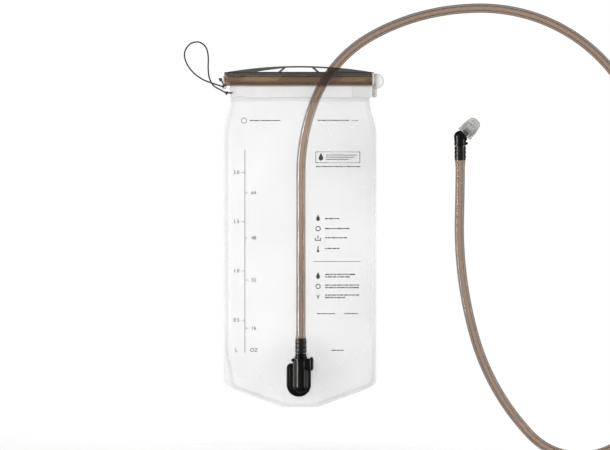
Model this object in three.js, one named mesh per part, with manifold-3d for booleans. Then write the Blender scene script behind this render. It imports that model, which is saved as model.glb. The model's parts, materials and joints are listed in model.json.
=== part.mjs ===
// A two-litre hydration bladder: a flat film bag with a slide closure across its mouth, a shut-off port
// low on its front, and a drink tube that arches over the closure to an elbow and a bite valve.
//
// Units are millimetres. The bladder hangs upright: +Z is up, its front faces -Y and its back lies in
// the plane y = 0. The origin is the middle of the back.

import * as THREE from 'three';
import { mergeVertices } from 'three/addons/utils/BufferGeometryUtils.js';
import Module from 'manifold-3d';

const wasm = await Module();
wasm.setup();

// Driving dimensions

const FIT_GAP = 0.3; // the clearance between two pieces that touch on the real bladder
const OVERCUT = 1; // how far a cutting tool stands proud of the face that it opens
const REACH = 30; // further than a tool has to go to pass through the bag or the port

const BAG = {
	bottom: -178,
	top: 174,
	halfWidth: 84,
	footHalfWidth: 20, // the flat at the very bottom
	cornerHeight: 23.5, // how far the sloped bottom edges rise to the sides
	cornerRound: 16,
	shoulderFrom: 121,
	neck: 160,
	neckHalfWidth: 76.5,
	film: 0.6,
	weldWidth: 5,
	weldY: -3, // the plane in which front and back are welded
	neckY: -6.5, // the same plane at the neck, in the middle of the closure
	neckFrom: 95, // where the plane starts to move forward
	neckTo: 158,
	frontY: -10.8, // the fullest place of the front
	crown: 0.8, // under 1 the front is flatter in its middle
	backLevel: 0.45, // the back reaches its flat where the bag is this full
	lowRise: 110, // the height over which the bag fills out, from the bottom weld
	highRise: 90, // and again below the neck
	padInner: 6, // the film lies flat behind the port's flange to this distance outside it
	padOuter: 28, // and is free beyond this one
};

const STRIP = {
	left: -85,
	right: 79,
	skirtLeft: -77,
	skirtBottom: 162,
	skirt: 1,
	webInner: 0.2, // from the middle plane between the two strips
	web: 1.2,
	bead: 3.4,
	beadZ: 182,
	beadFrom: -70, // the angle at which the bead's round leaves the web
	beadTuck: 0.2, // how far the web runs up into the bead
	taper: 0.8, // the height over which the skirt narrows to the web
};
const STOP = {
	gap: 0.5,
	top: 188.3,
	bottom: 171.7,
	bulge: 14,
	thickness: 8.4,
	earRight: 84.5,
	earTop: 177,
	earThickness: 2.4,
};
const SLIDER = {
	left: -83,
	right: 81,
	bottom: 175,
	top: 189.5,
	front: -12,
	wall: 1.6,
	slot: 4.2,
	round: 3,
	chamfer: 1,
};
const HANDLE = {
	sagitta: 7.1,
	thickness: 3.2,
	bar: 2, // the bar over the windows
	root: 1, // how far its plate is let into the channel
	sill: 0.8, // the windows' sill above the channel
	windowsLeft: -42,
	windowsRight: 30,
	strut: 3,
	leftStrut: -19,
	rightStrut: 13,
	lean: 5,
};
const EYELET = { x: -83.2, z: 173.8, radius: 2.7, hole: 1.5, thickness: 2.4 };
const CORD = { radius: 0.7, knot: 1.9, stand: 1.4, anchorX: -74.8, anchorZ: 167, anchorHole: 1.3 };

// The port's axis runs up and down. Its own frame starts on that axis at the socket's mouth.
const PORT = {
	x: 1,
	y: -17.5,
	mouthZ: -124,
	radius: 7.2,
	bore: 4.5,
	boreDepth: 20.8,
	seat: 3,
	seatDepth: 22,
	chamberDepth: 34.8,
	domeDepth: 30.8,
	inletDepth: 29,
	inlet: 3.5,
	backY: 8.9,
};
const FLANGE = { left: -15.7, right: 11, top: -5.8, bottom: -42.5, thickness: 2, corner: 5 };
const BUTTON = {
	z: -5.9,
	left: 9.7,
	right: 14,
	halfWidth: 8.5,
	halfHeight: 7.2,
	wall: 1.2,
	end: 1.4, // the thickness under the thumb
	bossLeft: 4, // the boss under the cap starts inside the barrel
	travel: 2.2,
};
const BUTTON_SPRING = { z: -4.2, radius: 1.9, wire: 0.25, from: 7.2, turns: 4, bore: 2.6, boreFrom: 6.6 };
const LATCH = { bottom: -9.9, top: -8.3, halfWidth: 5.7, opening: 4.5, tip: -0.2 };
const POPPET = {
	top: -20.7,
	headTop: -25.8,
	head: 4,
	headThickness: 1.4,
	fin: 2.7,
	finWidth: 1.2,
	finRoot: 0.5, // how far the fins are let into the head
	pin: 1.4,
	pinLength: 1.8,
	seal: 1,
	sealInset: 0.2,
};
const POPPET_SPRING = { radius: 2.6, wire: 0.3, turns: 4.5 };
const SPRING_END = 0.6; // from a spring's end turn, on its wire's middle, to what it bears on
const PLUG = {
	noseEnd: -20.4,
	nose: 4.1,
	bore: 2.2,
	groove: 3,
	grooveZ: -14,
	grooveHalf: 1,
	noseRound: 0.5,
	collar: 7,
	collarTop: 5.5,
	collarRound: 0.8,
	ring: 3.75,
	ringSection: 0.55,
};
const BARB = {
	core: 2.9,
	tooth: 3.8,
	pitch: 4.6,
	teeth: 3,
	root: 2, // from the shoulder to the first tooth
	rise: 0.3,
	land: 0.6,
	end: 0.5,
	endInset: 0.2,
};

const TUBE = {
	outer: 5.1,
	inner: 3.2,
	stretchedOuter: 6.15,
	stretchedInner: 4.1,
	stretch: 16,
	taper: 4, // the length over which it narrows again
	lap: 1, // the plain length that is let into the rest of the wall
	lapInset: 0.05,
	boreOverlap: 3, // how far each bore runs on into the next length
};
const HINGE_SOCKET = TUBE.outer + FIT_GAP; // a tube joint's ball turns in a socket of this radius

// The tube's route in the plane of the bag, starting upwards: each leg is a length and a turn in degrees.
const RUN_LEGS = [[197, 0], [78, -20.7], [100, -40.2], [124.5, -29.1]];
const LOOP_LEGS = [[66, -20], [223, -70], [234, 0], [118.1, -90]];
const END_LEGS = [[60.9, -46.4], [125, -27.7], [135, -17.5], [60, 1.6], [16.4, 0]];
const TUBE_REAR_Y = -6; // beside the bag the tube drops back to this plane
const DROP_FROM = 380; // the stretch of tube, from the plug, in which it does so
const DROP_TO = 480;

// The mouthpiece's own frame starts at the end of the tube.
const ELBOW = {
	radius: 6.6,
	bendZ: 8.2, // where the valve's axis meets the tube's
	ball: 6.9,
	ballZ: 10.1,
	bore: 2.2,
	spigot: 4,
	spigotEnd: 13.9,
	groove: 3.1,
	grooveFrom: 11.7,
	grooveTo: 12.9,
	nub: 1.5,
	nubOut: 0.4,
	nubZ: 3,
	ring: 3.7,
	ringSection: 0.5,
};
const VALVE_TILT = THREE.MathUtils.degToRad(43);
const CORE = { from: 10.9, shoulder: 18.9, end: 20.9, mouth: 2.5 };
const VALVE = {
	collar: 9.1,
	collarFrom: 6.5,
	collarTo: 9.9,
	sleeve: 7.4,
	sleeveInner: 6.4,
	sleeveEnd: 15.9,
};
const BITE = {
	from: 10.5,
	end: 27.6,
	rootRadius: 8.9,
	rootEnd: 17,
	tipRadius: 6.6,
	rootRound: 0.3,
	tipRound: 1.2,
	inner: 7.7,
	innerRoot: 6, // how far up the bore keeps its full width
	tipWall: 2.6,
	slit: 0.5,
	slitHalf: 3.5,
	slitDepth: 6,
};

// Materials

function finish(color, roughness, metalness = 0) {
	return new THREE.MeshStandardMaterial({ color, roughness, metalness });
}

const film = finish(0xe9ebec, 0.35);
const milkyPlastic = finish(0xe2e3e0, 0.45);
const smokePlastic = finish(0x746454, 0.3);
const blackPlastic = finish(0x1d1b1a, 0.35);
const smokeTube = finish(0x9c8c7b, 0.3);
const clearPlastic = finish(0xc9cbca, 0.25);
const silicone = finish(0xc4c5c1, 0.4);
const rubber = finish(0x232323, 0.7);
const cordFibre = finish(0x3b3b39, 0.85);
const springSteel = finish(0xb8bcc0, 0.3, 1);

// Solids

function toSolid(geometry) {
	const bare = geometry.clone();
	bare.deleteAttribute('normal');
	bare.deleteAttribute('uv');
	const merged = mergeVertices(bare, 1e-4);
	return new wasm.Manifold(new wasm.Mesh({
		numProp: 3,
		vertProperties: new Float32Array(merged.attributes.position.array),
		triVerts: new Uint32Array(merged.index.array),
	}));
}

function toGeometry(solid) {
	const { vertProperties, triVerts } = solid.getMesh();
	const geometry = new THREE.BufferGeometry();
	geometry.setAttribute('position', new THREE.BufferAttribute(vertProperties, 3));
	geometry.setIndex(new THREE.BufferAttribute(triVerts, 1));
	geometry.computeVertexNormals();
	return geometry;
}

function join(...geometries) {
	return toGeometry(geometries.map(toSolid).reduce((whole, piece) => whole.add(piece)));
}

function cut(geometry, ...tools) {
	return toGeometry(tools.map(toSolid).reduce((rest, tool) => rest.subtract(tool), toSolid(geometry)));
}

// Turns a profile of [radius, height] pairs about the Z axis.
function turned(profile, segments = 20) {
	const points = profile.map(([radius, height]) => new THREE.Vector2(radius, height));
	return new THREE.LatheGeometry(points, segments).rotateX(Math.PI / 2);
}

// Turns a hollow piece, whose profile closes on itself.
function turnedRing(profile, segments = 20) {
	return turned([...profile, profile[0]], segments);
}

function rod(radius, from, to, segments = 16) {
	const geometry = new THREE.CylinderGeometry(radius, radius, to - from, segments);
	return geometry.rotateX(Math.PI / 2).translate(0, 0, (from + to) / 2);
}

function block([x0, x1], [y0, y1], [z0, z1]) {
	const geometry = new THREE.BoxGeometry(x1 - x0, y1 - y0, z1 - z0);
	return geometry.translate((x0 + x1) / 2, (y0 + y1) / 2, (z0 + z1) / 2);
}

function ball(radius, segments = 16) {
	return new THREE.SphereGeometry(radius, segments, segments * 0.7);
}

// Extrudes a shape drawn in X and Z from the plane y = front to y = back.
function slab(shape, front, back, curveSegments = 8) {
	const depth = back - front;
	const geometry = new THREE.ExtrudeGeometry(shape, { depth, bevelEnabled: false, curveSegments });
	return geometry.rotateX(Math.PI / 2).translate(0, back, 0);
}

// Extrudes a shape drawn in Y and Z along X.
function beam(shape, left, right, curveSegments = 8) {
	const depth = right - left;
	const geometry = new THREE.ExtrudeGeometry(shape, { depth, bevelEnabled: false, curveSegments });
	return geometry.rotateX(Math.PI / 2).rotateZ(Math.PI / 2).translate(left, 0, 0);
}

function circle(radius) {
	return new THREE.Shape().absarc(0, 0, radius, 0, 2 * Math.PI);
}

function alongCurve(curve, radius, steps, sides) {
	return new THREE.ExtrudeGeometry(circle(radius), {
		extrudePath: curve,
		steps,
		curveSegments: sides / 2,
		bevelEnabled: false,
	});
}

class Helix extends THREE.Curve {

	constructor(radius, from, to, turns) {
		super();
		Object.assign(this, { radius, from, to, turns });
	}

	getPoint(t, target = new THREE.Vector3()) {
		const angle = 2 * Math.PI * this.turns * t;
		const height = THREE.MathUtils.lerp(this.from, this.to, t);
		return target.set(this.radius * Math.cos(angle), this.radius * Math.sin(angle), height);
	}

}

function spring(radius, wire, from, to, turns) {
	return alongCurve(new Helix(radius, from, to, turns), wire, Math.round(turns * 10), 4);
}

function oRing(radius, section, z) {
	return new THREE.TorusGeometry(radius, section, 6, 20).translate(0, 0, z);
}

// The bag

const { clamp, lerp, smoothstep } = THREE.MathUtils;

function smoothMin(a, b, round) {
	const near = Math.max(round - Math.abs(a - b), 0) / round;
	return Math.min(a, b) - near * near * round / 4;
}

function bagHalfWidth(z) {
	const slope = (BAG.halfWidth - BAG.footHalfWidth) / BAG.cornerHeight;
	const slopedEdge = BAG.footHalfWidth + (z - BAG.bottom) * slope;
	const side = lerp(BAG.halfWidth, BAG.neckHalfWidth, smoothstep(z, BAG.shoulderFrom, BAG.neck));
	return smoothMin(slopedEdge, side, BAG.cornerRound);
}

function weldPlane(z) {
	return lerp(BAG.weldY, BAG.neckY, smoothstep(z, BAG.neckFrom, BAG.neckTo));
}

// How full the bag is at a place: 0 on the welds, 1 where it is fullest.
function fullness(x, z) {
	const reach = bagHalfWidth(z) - BAG.weldWidth;
	const across = Math.max(0, 1 - (x / reach) ** 2) ** BAG.crown;
	const low = Math.sin(clamp((z - BAG.bottom - BAG.weldWidth) / BAG.lowRise, 0, 1) * Math.PI / 2);
	const high = Math.sin(clamp((BAG.neck - z) / BAG.highRise, 0, 1) * Math.PI / 2);
	return across * low * high;
}

// The film lies flat behind the port's flange: 1 there, falling to 0 around it.
function flangePad(x, z) {
	const centreX = PORT.x + (FLANGE.left + FLANGE.right) / 2;
	const centreZ = PORT.mouthZ + (FLANGE.top + FLANGE.bottom) / 2;
	const outsideX = Math.max(Math.abs(x - centreX) - (FLANGE.right - FLANGE.left) / 2, 0);
	const outsideZ = Math.max(Math.abs(z - centreZ) - (FLANGE.top - FLANGE.bottom) / 2, 0);
	return 1 - smoothstep(Math.hypot(outsideX, outsideZ), BAG.padInner, BAG.padOuter);
}

const WELD_HALF_GAP = FIT_GAP / 2 + BAG.film;
const FLANGE_BACK_Y = PORT.y + PORT.backY + FIT_GAP + FLANGE.thickness;

function frontOuterY(x, z) {
	const free = lerp(weldPlane(z) - WELD_HALF_GAP, BAG.frontY, fullness(x, z));
	return lerp(free, FLANGE_BACK_Y + FIT_GAP, flangePad(x, z));
}

function backOuterY(x, z) {
	return lerp(weldPlane(z) + WELD_HALF_GAP, 0, smoothstep(fullness(x, z), 0, BAG.backLevel));
}

function evenly(from, to, steps) {
	return Array.from({ length: steps + 1 }, (_, i) => lerp(from, to, i / steps));
}

// A closed sheet over the bag's outline, between two surfaces given as y(x, z).
function bagSheet(frontY, rearY) {
	const cornerTop = BAG.bottom + BAG.cornerHeight + BAG.cornerRound;
	const cornerRows = evenly(BAG.bottom, cornerTop, 7);
	const rows = [...cornerRows, ...evenly(cornerTop, BAG.top, 19).slice(1)];
	const grid = [];
	for (const z of rows) {
		const edge = bagHalfWidth(z);
		const inside = edge - BAG.weldWidth;
		grid.push([-edge, ...evenly(-inside, inside, 10), edge].map((x) => [x, z]));
	}
	const places = grid.flat();
	const columns = grid[0].length;
	const position = [
		...places.flatMap(([x, z]) => [x, frontY(x, z), z]),
		...places.flatMap(([x, z]) => [x, rearY(x, z), z]),
	];
	const index = [];
	const quad = (a, b, c, d) => index.push(a, b, c, a, c, d);
	const rear = places.length;
	const last = rows.length - 1;
	for (let row = 0; row < last; row++) {
		for (let column = 0; column < columns - 1; column++) {
			const corner = row * columns + column;
			quad(corner, corner + 1, corner + columns + 1, corner + columns);
			quad(rear + corner, rear + corner + columns, rear + corner + columns + 1, rear + corner + 1);
		}
		const left = row * columns;
		const right = left + columns - 1;
		quad(left, left + columns, rear + left + columns, rear + left);
		quad(right, rear + right, rear + right + columns, right + columns);
	}
	for (let column = 0; column < columns - 1; column++) {
		const top = last * columns + column;
		quad(column, rear + column, rear + column + 1, column + 1);
		quad(top, top + 1, rear + top + 1, rear + top);
	}
	const geometry = new THREE.BufferGeometry();
	geometry.setAttribute('position', new THREE.Float32BufferAttribute(position, 3));
	geometry.setIndex(index);
	return geometry;
}

// A drill through everything from front to back.
function drillThrough(radius, x, z) {
	return rod(radius, -REACH, REACH, 16).rotateX(Math.PI / 2).translate(x, 0, z);
}

const cordHole = drillThrough(CORD.anchorHole, CORD.anchorX, CORD.anchorZ);

function frontPanel() {
	const sheet = bagSheet(frontOuterY, (x, z) => frontOuterY(x, z) + BAG.film);
	return cut(sheet, cordHole, drillThrough(PORT.inlet, PORT.x, PORT.mouthZ - PORT.inletDepth));
}

function backPanel() {
	return cut(bagSheet((x, z) => backOuterY(x, z) - BAG.film, backOuterY), cordHole);
}

// The closure

// One strip's section in Y and Z, measured from the middle plane: a skirt welded over the film, a web
// that passes the slider's slot, and a half-round bead that the slider holds.
function closureStrip(side) {
	const { bead, beadZ, skirtBottom, webInner } = STRIP;
	const skirtInner = WELD_HALF_GAP + FIT_GAP;
	const skirtOuter = skirtInner + STRIP.skirt;
	const webOuter = webInner + STRIP.web;
	const at = (offset) => BAG.neckY + side * offset;
	const profile = new THREE.Shape();
	profile.moveTo(at(skirtOuter), skirtBottom);
	profile.lineTo(at(skirtOuter), SLIDER.bottom - STRIP.taper);
	profile.lineTo(at(webOuter), SLIDER.bottom);
	profile.lineTo(at(webOuter), beadZ - bead + STRIP.beadTuck);
	for (const angle of evenly(STRIP.beadFrom, 90, 8)) {
		const turn = THREE.MathUtils.degToRad(angle);
		profile.lineTo(at(webInner + bead * Math.cos(turn)), beadZ + bead * Math.sin(turn));
	}
	profile.lineTo(at(webInner), BAG.top + FIT_GAP);
	profile.lineTo(at(skirtInner), BAG.top + FIT_GAP);
	profile.lineTo(at(skirtInner), skirtBottom);
	const leftOfSkirt = block(
		[STRIP.left - OVERCUT, STRIP.skirtLeft],
		[-REACH, REACH],
		[skirtBottom - OVERCUT, SLIDER.bottom],
	);
	return cut(beam(profile, STRIP.left, STRIP.right), leftOfSkirt, cordHole);
}

// The bumper that ends both strips: a D-shaped lobe outside the slider, on a flat ear beside the film.
function closureEndStop() {
	const { top, bottom, bulge, thickness, earRight, earTop, earThickness } = STOP;
	const lobe = new THREE.Shape();
	const left = SLIDER.right + STOP.gap;
	lobe.moveTo(left, bottom);
	lobe.bezierCurveTo(left + bulge, bottom, left + bulge, top, left, top);
	lobe.lineTo(left, bottom);
	const body = slab(lobe, BAG.neckY - thickness / 2, BAG.neckY + thickness / 2, 12);
	const ear = block(
		[STRIP.right + FIT_GAP, earRight],
		[BAG.neckY - earThickness / 2, BAG.neckY + earThickness / 2],
		[STRIP.skirtBottom, earTop],
	);
	return join(body, ear);
}

function sliderChannel() {
	const { bottom, top, front, wall, slot, round, chamfer } = SLIDER;
	const lip = slot / 2;
	const profile = new THREE.Shape();
	profile.moveTo(BAG.neckY - lip, bottom);
	profile.lineTo(front + chamfer, bottom);
	profile.lineTo(front, bottom + chamfer);
	profile.lineTo(front, top - round);
	profile.absarc(front + round, top - round, round, Math.PI, Math.PI / 2, true);
	profile.lineTo(-round, top);
	profile.absarc(-round, top - round, round, Math.PI / 2, 0, true);
	profile.lineTo(0, bottom + chamfer);
	profile.lineTo(-chamfer, bottom);
	profile.lineTo(BAG.neckY + lip, bottom);
	profile.lineTo(BAG.neckY + lip, bottom + wall);
	profile.lineTo(-wall, bottom + wall);
	profile.lineTo(-wall, top - round);
	profile.absarc(-round, top - round, round - wall, 0, Math.PI / 2, false);
	profile.lineTo(front + round, top - wall);
	profile.absarc(front + round, top - round, round - wall, Math.PI / 2, Math.PI, false);
	profile.lineTo(front + wall, bottom + wall);
	profile.lineTo(BAG.neckY - lip, bottom + wall);
	return beam(profile, SLIDER.left, SLIDER.right, 3);
}

const handleMiddle = (SLIDER.left + SLIDER.right) / 2;

function handleTop(x) {
	const chord = SLIDER.right - SLIDER.left;
	const radius = chord * chord / (8 * HANDLE.sagitta) + HANDLE.sagitta / 2;
	return SLIDER.top + HANDLE.sagitta - radius + Math.sqrt(radius ** 2 - (x - handleMiddle) ** 2);
}

function handlePlate() {
	const plate = new THREE.Shape();
	plate.moveTo(SLIDER.left, SLIDER.top - HANDLE.root);
	plate.lineTo(SLIDER.right, SLIDER.top - HANDLE.root);
	for (const x of evenly(SLIDER.right, SLIDER.left, 16)) {
		plate.lineTo(x, handleTop(x));
	}
	return plate;
}

// The three windows of the handle, between leaning struts. The middle one has a flat top to hang from.
function handleWindow(left, right, leanLeft, leanRight, flatTop) {
	const window = new THREE.Shape();
	const sill = SLIDER.top + HANDLE.sill;
	window.moveTo(left - leanLeft, sill);
	window.lineTo(right - leanRight, sill);
	for (const x of evenly(right, left, 6)) {
		window.lineTo(x, flatTop ? handleTop(left) - HANDLE.bar : handleTop(x) - HANDLE.bar);
	}
	return window;
}

function slider() {
	const { thickness, windowsLeft, windowsRight, strut, leftStrut, rightStrut, lean } = HANDLE;
	const handle = slab(handlePlate(), BAG.neckY - thickness / 2, BAG.neckY + thickness / 2);
	const eyeletHalf = EYELET.thickness / 2;
	const eyelet = rod(EYELET.radius, -eyeletHalf, eyeletHalf, 16)
		.rotateX(Math.PI / 2)
		.translate(EYELET.x, SLIDER.front + eyeletHalf, EYELET.z);
	const windows = [
		handleWindow(windowsLeft, leftStrut, 0, lean, false),
		handleWindow(leftStrut + strut, rightStrut, lean, -lean, true),
		handleWindow(rightStrut + strut, windowsRight, -lean, 0, false),
	];
	return cut(
		join(sliderChannel(), handle, eyelet),
		...windows.map((window) => slab(window, -REACH, REACH)),
		drillThrough(EYELET.hole, EYELET.x, EYELET.z),
	);
}

// The cord that keeps the slider on the bag: knotted at the slider's eyelet, round in a loose loop, knotted
// again beside the strips and through their hole to a stop behind.
function tetherCord() {
	const frontY = SLIDER.front - CORD.stand;
	const firstKnot = new THREE.Vector3(-87.2, frontY, 181.5);
	const secondKnot = new THREE.Vector3(-80.6, frontY, 166.9);
	const stop = new THREE.Vector3(CORD.anchorX, -2.2, CORD.anchorZ);
	const path = new THREE.CatmullRomCurve3([
		firstKnot,
		new THREE.Vector3(-85.2, frontY - 0.4, 177.6),
		new THREE.Vector3(EYELET.x, SLIDER.front - 1, EYELET.z),
		new THREE.Vector3(EYELET.x, SLIDER.front + EYELET.thickness + 1, EYELET.z),
		new THREE.Vector3(-88, -7.4, 174.8),
		new THREE.Vector3(-98.3, -7, 178.4),
		new THREE.Vector3(-106.7, -7, 181.8),
		new THREE.Vector3(-116.8, -7, 189),
		new THREE.Vector3(-124.4, -7, 199.5),
		new THREE.Vector3(-126.8, -7.5, 210.5),
		new THREE.Vector3(-121.5, -8, 220),
		new THREE.Vector3(-112, -9, 222.9),
		new THREE.Vector3(-104, -10, 218),
		new THREE.Vector3(-100.8, -10, 208),
		new THREE.Vector3(-100.7, -10, 192.7),
		new THREE.Vector3(-99.3, -10, 183),
		new THREE.Vector3(-94.9, -11, 175),
		new THREE.Vector3(-86, -12.4, 169.6),
		secondKnot,
		new THREE.Vector3(-77.4, -11.6, 167),
		new THREE.Vector3(CORD.anchorX, -9.2, CORD.anchorZ),
		new THREE.Vector3(CORD.anchorX, -4, CORD.anchorZ),
		stop,
	]);
	const knots = [firstKnot, secondKnot, stop].map((place) => ball(CORD.knot, 8).translate(...place));
	return join(alongCurve(path, CORD.radius, 96, 4), ...knots);
}

// The port, in its own frame

function portFlange() {
	const { left, right, top, bottom, corner, thickness } = FLANGE;
	const round = (right - left) / 2;
	const middle = (left + right) / 2;
	const outline = new THREE.Shape();
	outline.moveTo(left, bottom + round);
	outline.absarc(middle, bottom + round, round, Math.PI, 2 * Math.PI, false);
	outline.lineTo(right, top - corner);
	outline.absarc(right - corner, top - corner, corner, 0, Math.PI / 2, false);
	outline.lineTo(left + corner, top);
	outline.absarc(left + corner, top - corner, corner, Math.PI / 2, Math.PI, false);
	const front = PORT.backY + FIT_GAP;
	return cut(slab(outline, front, front + thickness), drillThrough(PORT.inlet, 0, -PORT.inletDepth));
}

function domeProfile(radius, centre) {
	const rounded = evenly(-90, 0, 6).map((angle) => {
		const turn = THREE.MathUtils.degToRad(angle);
		return [radius * Math.cos(turn), centre + radius * Math.sin(turn)];
	});
	rounded[0][0] = 0;
	return rounded;
}

function portHousing() {
	const { radius, bore, boreDepth, seat, seatDepth } = PORT;
	const { chamberDepth, domeDepth, inletDepth, inlet, backY } = PORT;
	const dome = turned([...domeProfile(radius, -domeDepth), [radius, 0], [0, 0]]);
	const foot = new THREE.Shape();
	foot.moveTo(-radius, 0);
	foot.lineTo(-radius, -domeDepth);
	foot.absarc(0, -domeDepth, radius, Math.PI, 2 * Math.PI, false);
	foot.lineTo(radius, 0);
	const bossHalfWidth = BUTTON.halfWidth - BUTTON.wall - FIT_GAP;
	const bossHalfHeight = BUTTON.halfHeight - BUTTON.wall - FIT_GAP;
	const bossRight = BUTTON.left + FIT_GAP;
	const boss = block(
		[BUTTON.bossLeft, bossRight],
		[-bossHalfWidth, bossHalfWidth],
		[BUTTON.z - bossHalfHeight, BUTTON.z + bossHalfHeight],
	);
	const hollow = turned([
		[0, -chamberDepth],
		[bore, -chamberDepth],
		[bore, -seatDepth],
		[seat, -seatDepth],
		[seat, -boreDepth],
		[bore, -boreDepth],
		[bore, OVERCUT],
		[0, OVERCUT],
	]);
	const inletHole = rod(inlet, 0, REACH, 16).rotateX(-Math.PI / 2).translate(0, 0, -inletDepth);
	const slotHalfWidth = LATCH.halfWidth + FIT_GAP;
	const slotLeft = LATCH.tip - BUTTON.travel - FIT_GAP;
	const latchSlot = block(
		[slotLeft, bossRight + OVERCUT],
		[-slotHalfWidth, slotHalfWidth],
		[LATCH.bottom - FIT_GAP, LATCH.top + FIT_GAP],
	);
	const springBore = rod(BUTTON_SPRING.bore, BUTTON_SPRING.boreFrom, bossRight + OVERCUT, 16)
		.rotateY(Math.PI / 2)
		.translate(0, 0, BUTTON_SPRING.z);
	return cut(join(dome, slab(foot, 0, backY), boss), hollow, inletHole, latchSlot, springBore);
}

function portPoppet() {
	const { top, headTop, head, headThickness, fin, finWidth, finRoot, pin, pinLength } = POPPET;
	const headBottom = headTop - headThickness;
	const disc = turned([
		[0, headBottom - pinLength],
		[pin, headBottom - pinLength],
		[pin, headBottom],
		[head, headBottom],
		[head, headTop],
		[0, headTop],
	]);
	const across = block([-fin, fin], [-finWidth / 2, finWidth / 2], [headTop - finRoot, top]);
	const along = block([-finWidth / 2, finWidth / 2], [-fin, fin], [headTop - finRoot, top]);
	return join(disc, across, along);
}

function poppetSeal() {
	const bottom = POPPET.headTop + FIT_GAP;
	const inner = POPPET.fin + FIT_GAP;
	const outer = POPPET.head - POPPET.sealInset;
	const top = bottom + POPPET.seal;
	return turnedRing([[inner, bottom], [outer, bottom], [outer, top], [inner, top]]);
}

function poppetSpring() {
	const { radius, wire, turns } = POPPET_SPRING;
	const top = POPPET.headTop - POPPET.headThickness - SPRING_END;
	return spring(radius, wire, -PORT.chamberDepth + SPRING_END, top, turns);
}

function releaseButton() {
	const { z, left, right, halfWidth, halfHeight, wall, end } = BUTTON;
	const cap = block([left, right], [-halfWidth, halfWidth], [z - halfHeight, z + halfHeight]);
	const innerWidth = halfWidth - wall;
	const innerHeight = halfHeight - wall;
	const cavity = block(
		[left - OVERCUT, right - end],
		[-innerWidth, innerWidth],
		[z - innerHeight, z + innerHeight],
	);
	return cut(cap, cavity);
}

// A horseshoe that straddles the plug's nose and slides with the button.
function latchPlate() {
	const { bottom, top, halfWidth, opening, tip } = LATCH;
	const heel = BUTTON.right - BUTTON.end - FIT_GAP;
	const outline = new THREE.Shape();
	outline.moveTo(tip, -halfWidth);
	outline.lineTo(heel, -halfWidth);
	outline.lineTo(heel, halfWidth);
	outline.lineTo(tip, halfWidth);
	outline.lineTo(tip, opening);
	outline.absarc(BUTTON.travel, 0, opening, Math.PI / 2, -Math.PI / 2, true);
	outline.lineTo(tip, -opening);
	const settings = { depth: top - bottom, bevelEnabled: false, curveSegments: 10 };
	return new THREE.ExtrudeGeometry(outline, settings).translate(0, 0, bottom);
}

function buttonSpring() {
	const { radius, wire, from, turns, z } = BUTTON_SPRING;
	const coil = spring(radius, wire, from, BUTTON.right - BUTTON.end - SPRING_END, turns);
	return coil.rotateY(Math.PI / 2).translate(0, 0, z);
}

// The plug and the tube

// The toothed outside of a hose barb, from its root to its end, as [radius, height] pairs.
function barbTeeth(rootZ, direction) {
	const profile = [];
	for (let tooth = 0; tooth < BARB.teeth; tooth++) {
		const foot = rootZ + direction * (BARB.root + tooth * BARB.pitch);
		profile.push([BARB.core, foot], [BARB.tooth, foot + direction * BARB.rise]);
		profile.push([BARB.core, foot + direction * (BARB.pitch - BARB.land)]);
	}
	return profile;
}

function tubePlug() {
	const { noseEnd, nose, noseRound, bore, groove, grooveZ, grooveHalf } = PLUG;
	const { collar, collarTop, collarRound } = PLUG;
	const barb = barbTeeth(collarTop, 1);
	const barbEnd = barb.at(-1)[1] + BARB.end;
	return turnedRing([
		[bore, noseEnd],
		[nose - noseRound, noseEnd],
		[nose, noseEnd + noseRound],
		[nose, grooveZ - grooveHalf],
		[groove, grooveZ - grooveHalf],
		[groove, grooveZ + grooveHalf],
		[nose, grooveZ + grooveHalf],
		[nose, FIT_GAP],
		[collar, FIT_GAP],
		[collar, collarTop - collarRound],
		[collar - collarRound, collarTop],
		[BARB.core, collarTop],
		...barb,
		[BARB.core - BARB.endInset, barbEnd],
		[bore, barbEnd],
	]);
}

// A flat chain of straight legs and round bends, which drops back in Y along part of its length.
class Route extends THREE.Curve {

	constructor(start, legs) {
		super();
		this.start = start;
		this.legs = legs;
		this.total = legs.reduce((sum, [length]) => sum + length, 0);
		this.from = 0;
		this.to = this.total;
	}

	part(from, to) {
		const part = new Route(this.start, this.legs);
		part.from = from;
		part.to = to;
		return part;
	}

	getPoint(t, target = new THREE.Vector3()) {
		const distance = lerp(this.from, this.to, t);
		const y = lerp(PORT.y, TUBE_REAR_Y, smoothstep(distance, DROP_FROM, DROP_TO));
		let { x, z } = this.start;
		let heading = Math.PI / 2;
		let left = distance;
		for (const [index, [length, turn]] of this.legs.entries()) {
			const last = index === this.legs.length - 1;
			const run = last ? left : Math.min(left, length);
			const bend = THREE.MathUtils.degToRad(turn) * run / length;
			const chord = bend === 0 ? run : run * Math.sin(bend / 2) / (bend / 2);
			x += chord * Math.cos(heading + bend / 2);
			z += chord * Math.sin(heading + bend / 2);
			heading += bend;
			left -= run;
			if (left <= 0) {
				break;
			}
		}
		return target.set(x, y, z);
	}

}

const legsLength = (legs) => legs.reduce((sum, [length]) => sum + length, 0);
const TUBE_BOTTOM_Z = PORT.mouthZ + PLUG.collarTop + FIT_GAP;
const route = new Route({ x: PORT.x, z: TUBE_BOTTOM_Z }, [...RUN_LEGS, ...LOOP_LEGS, ...END_LEGS]);
const TOP_AT = legsLength(RUN_LEGS); // the top of the arch, where the loop can twist
const FOOT_AT = TOP_AT + legsLength(LOOP_LEGS); // the bottom of the loop, where it can bend
const topOfArch = route.part(TOP_AT, TOP_AT).getPoint(0);
const footOfLoop = route.part(FOOT_AT, FOOT_AT).getPoint(0);
const tubeEnd = route.getPoint(1);

const TUBE_SIDES = 10;
const TUBE_STEP = 18;

function tubeCore(from, to, radius) {
	return alongCurve(route.part(from, to), radius, Math.round((to - from) / TUBE_STEP), TUBE_SIDES);
}

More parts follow.
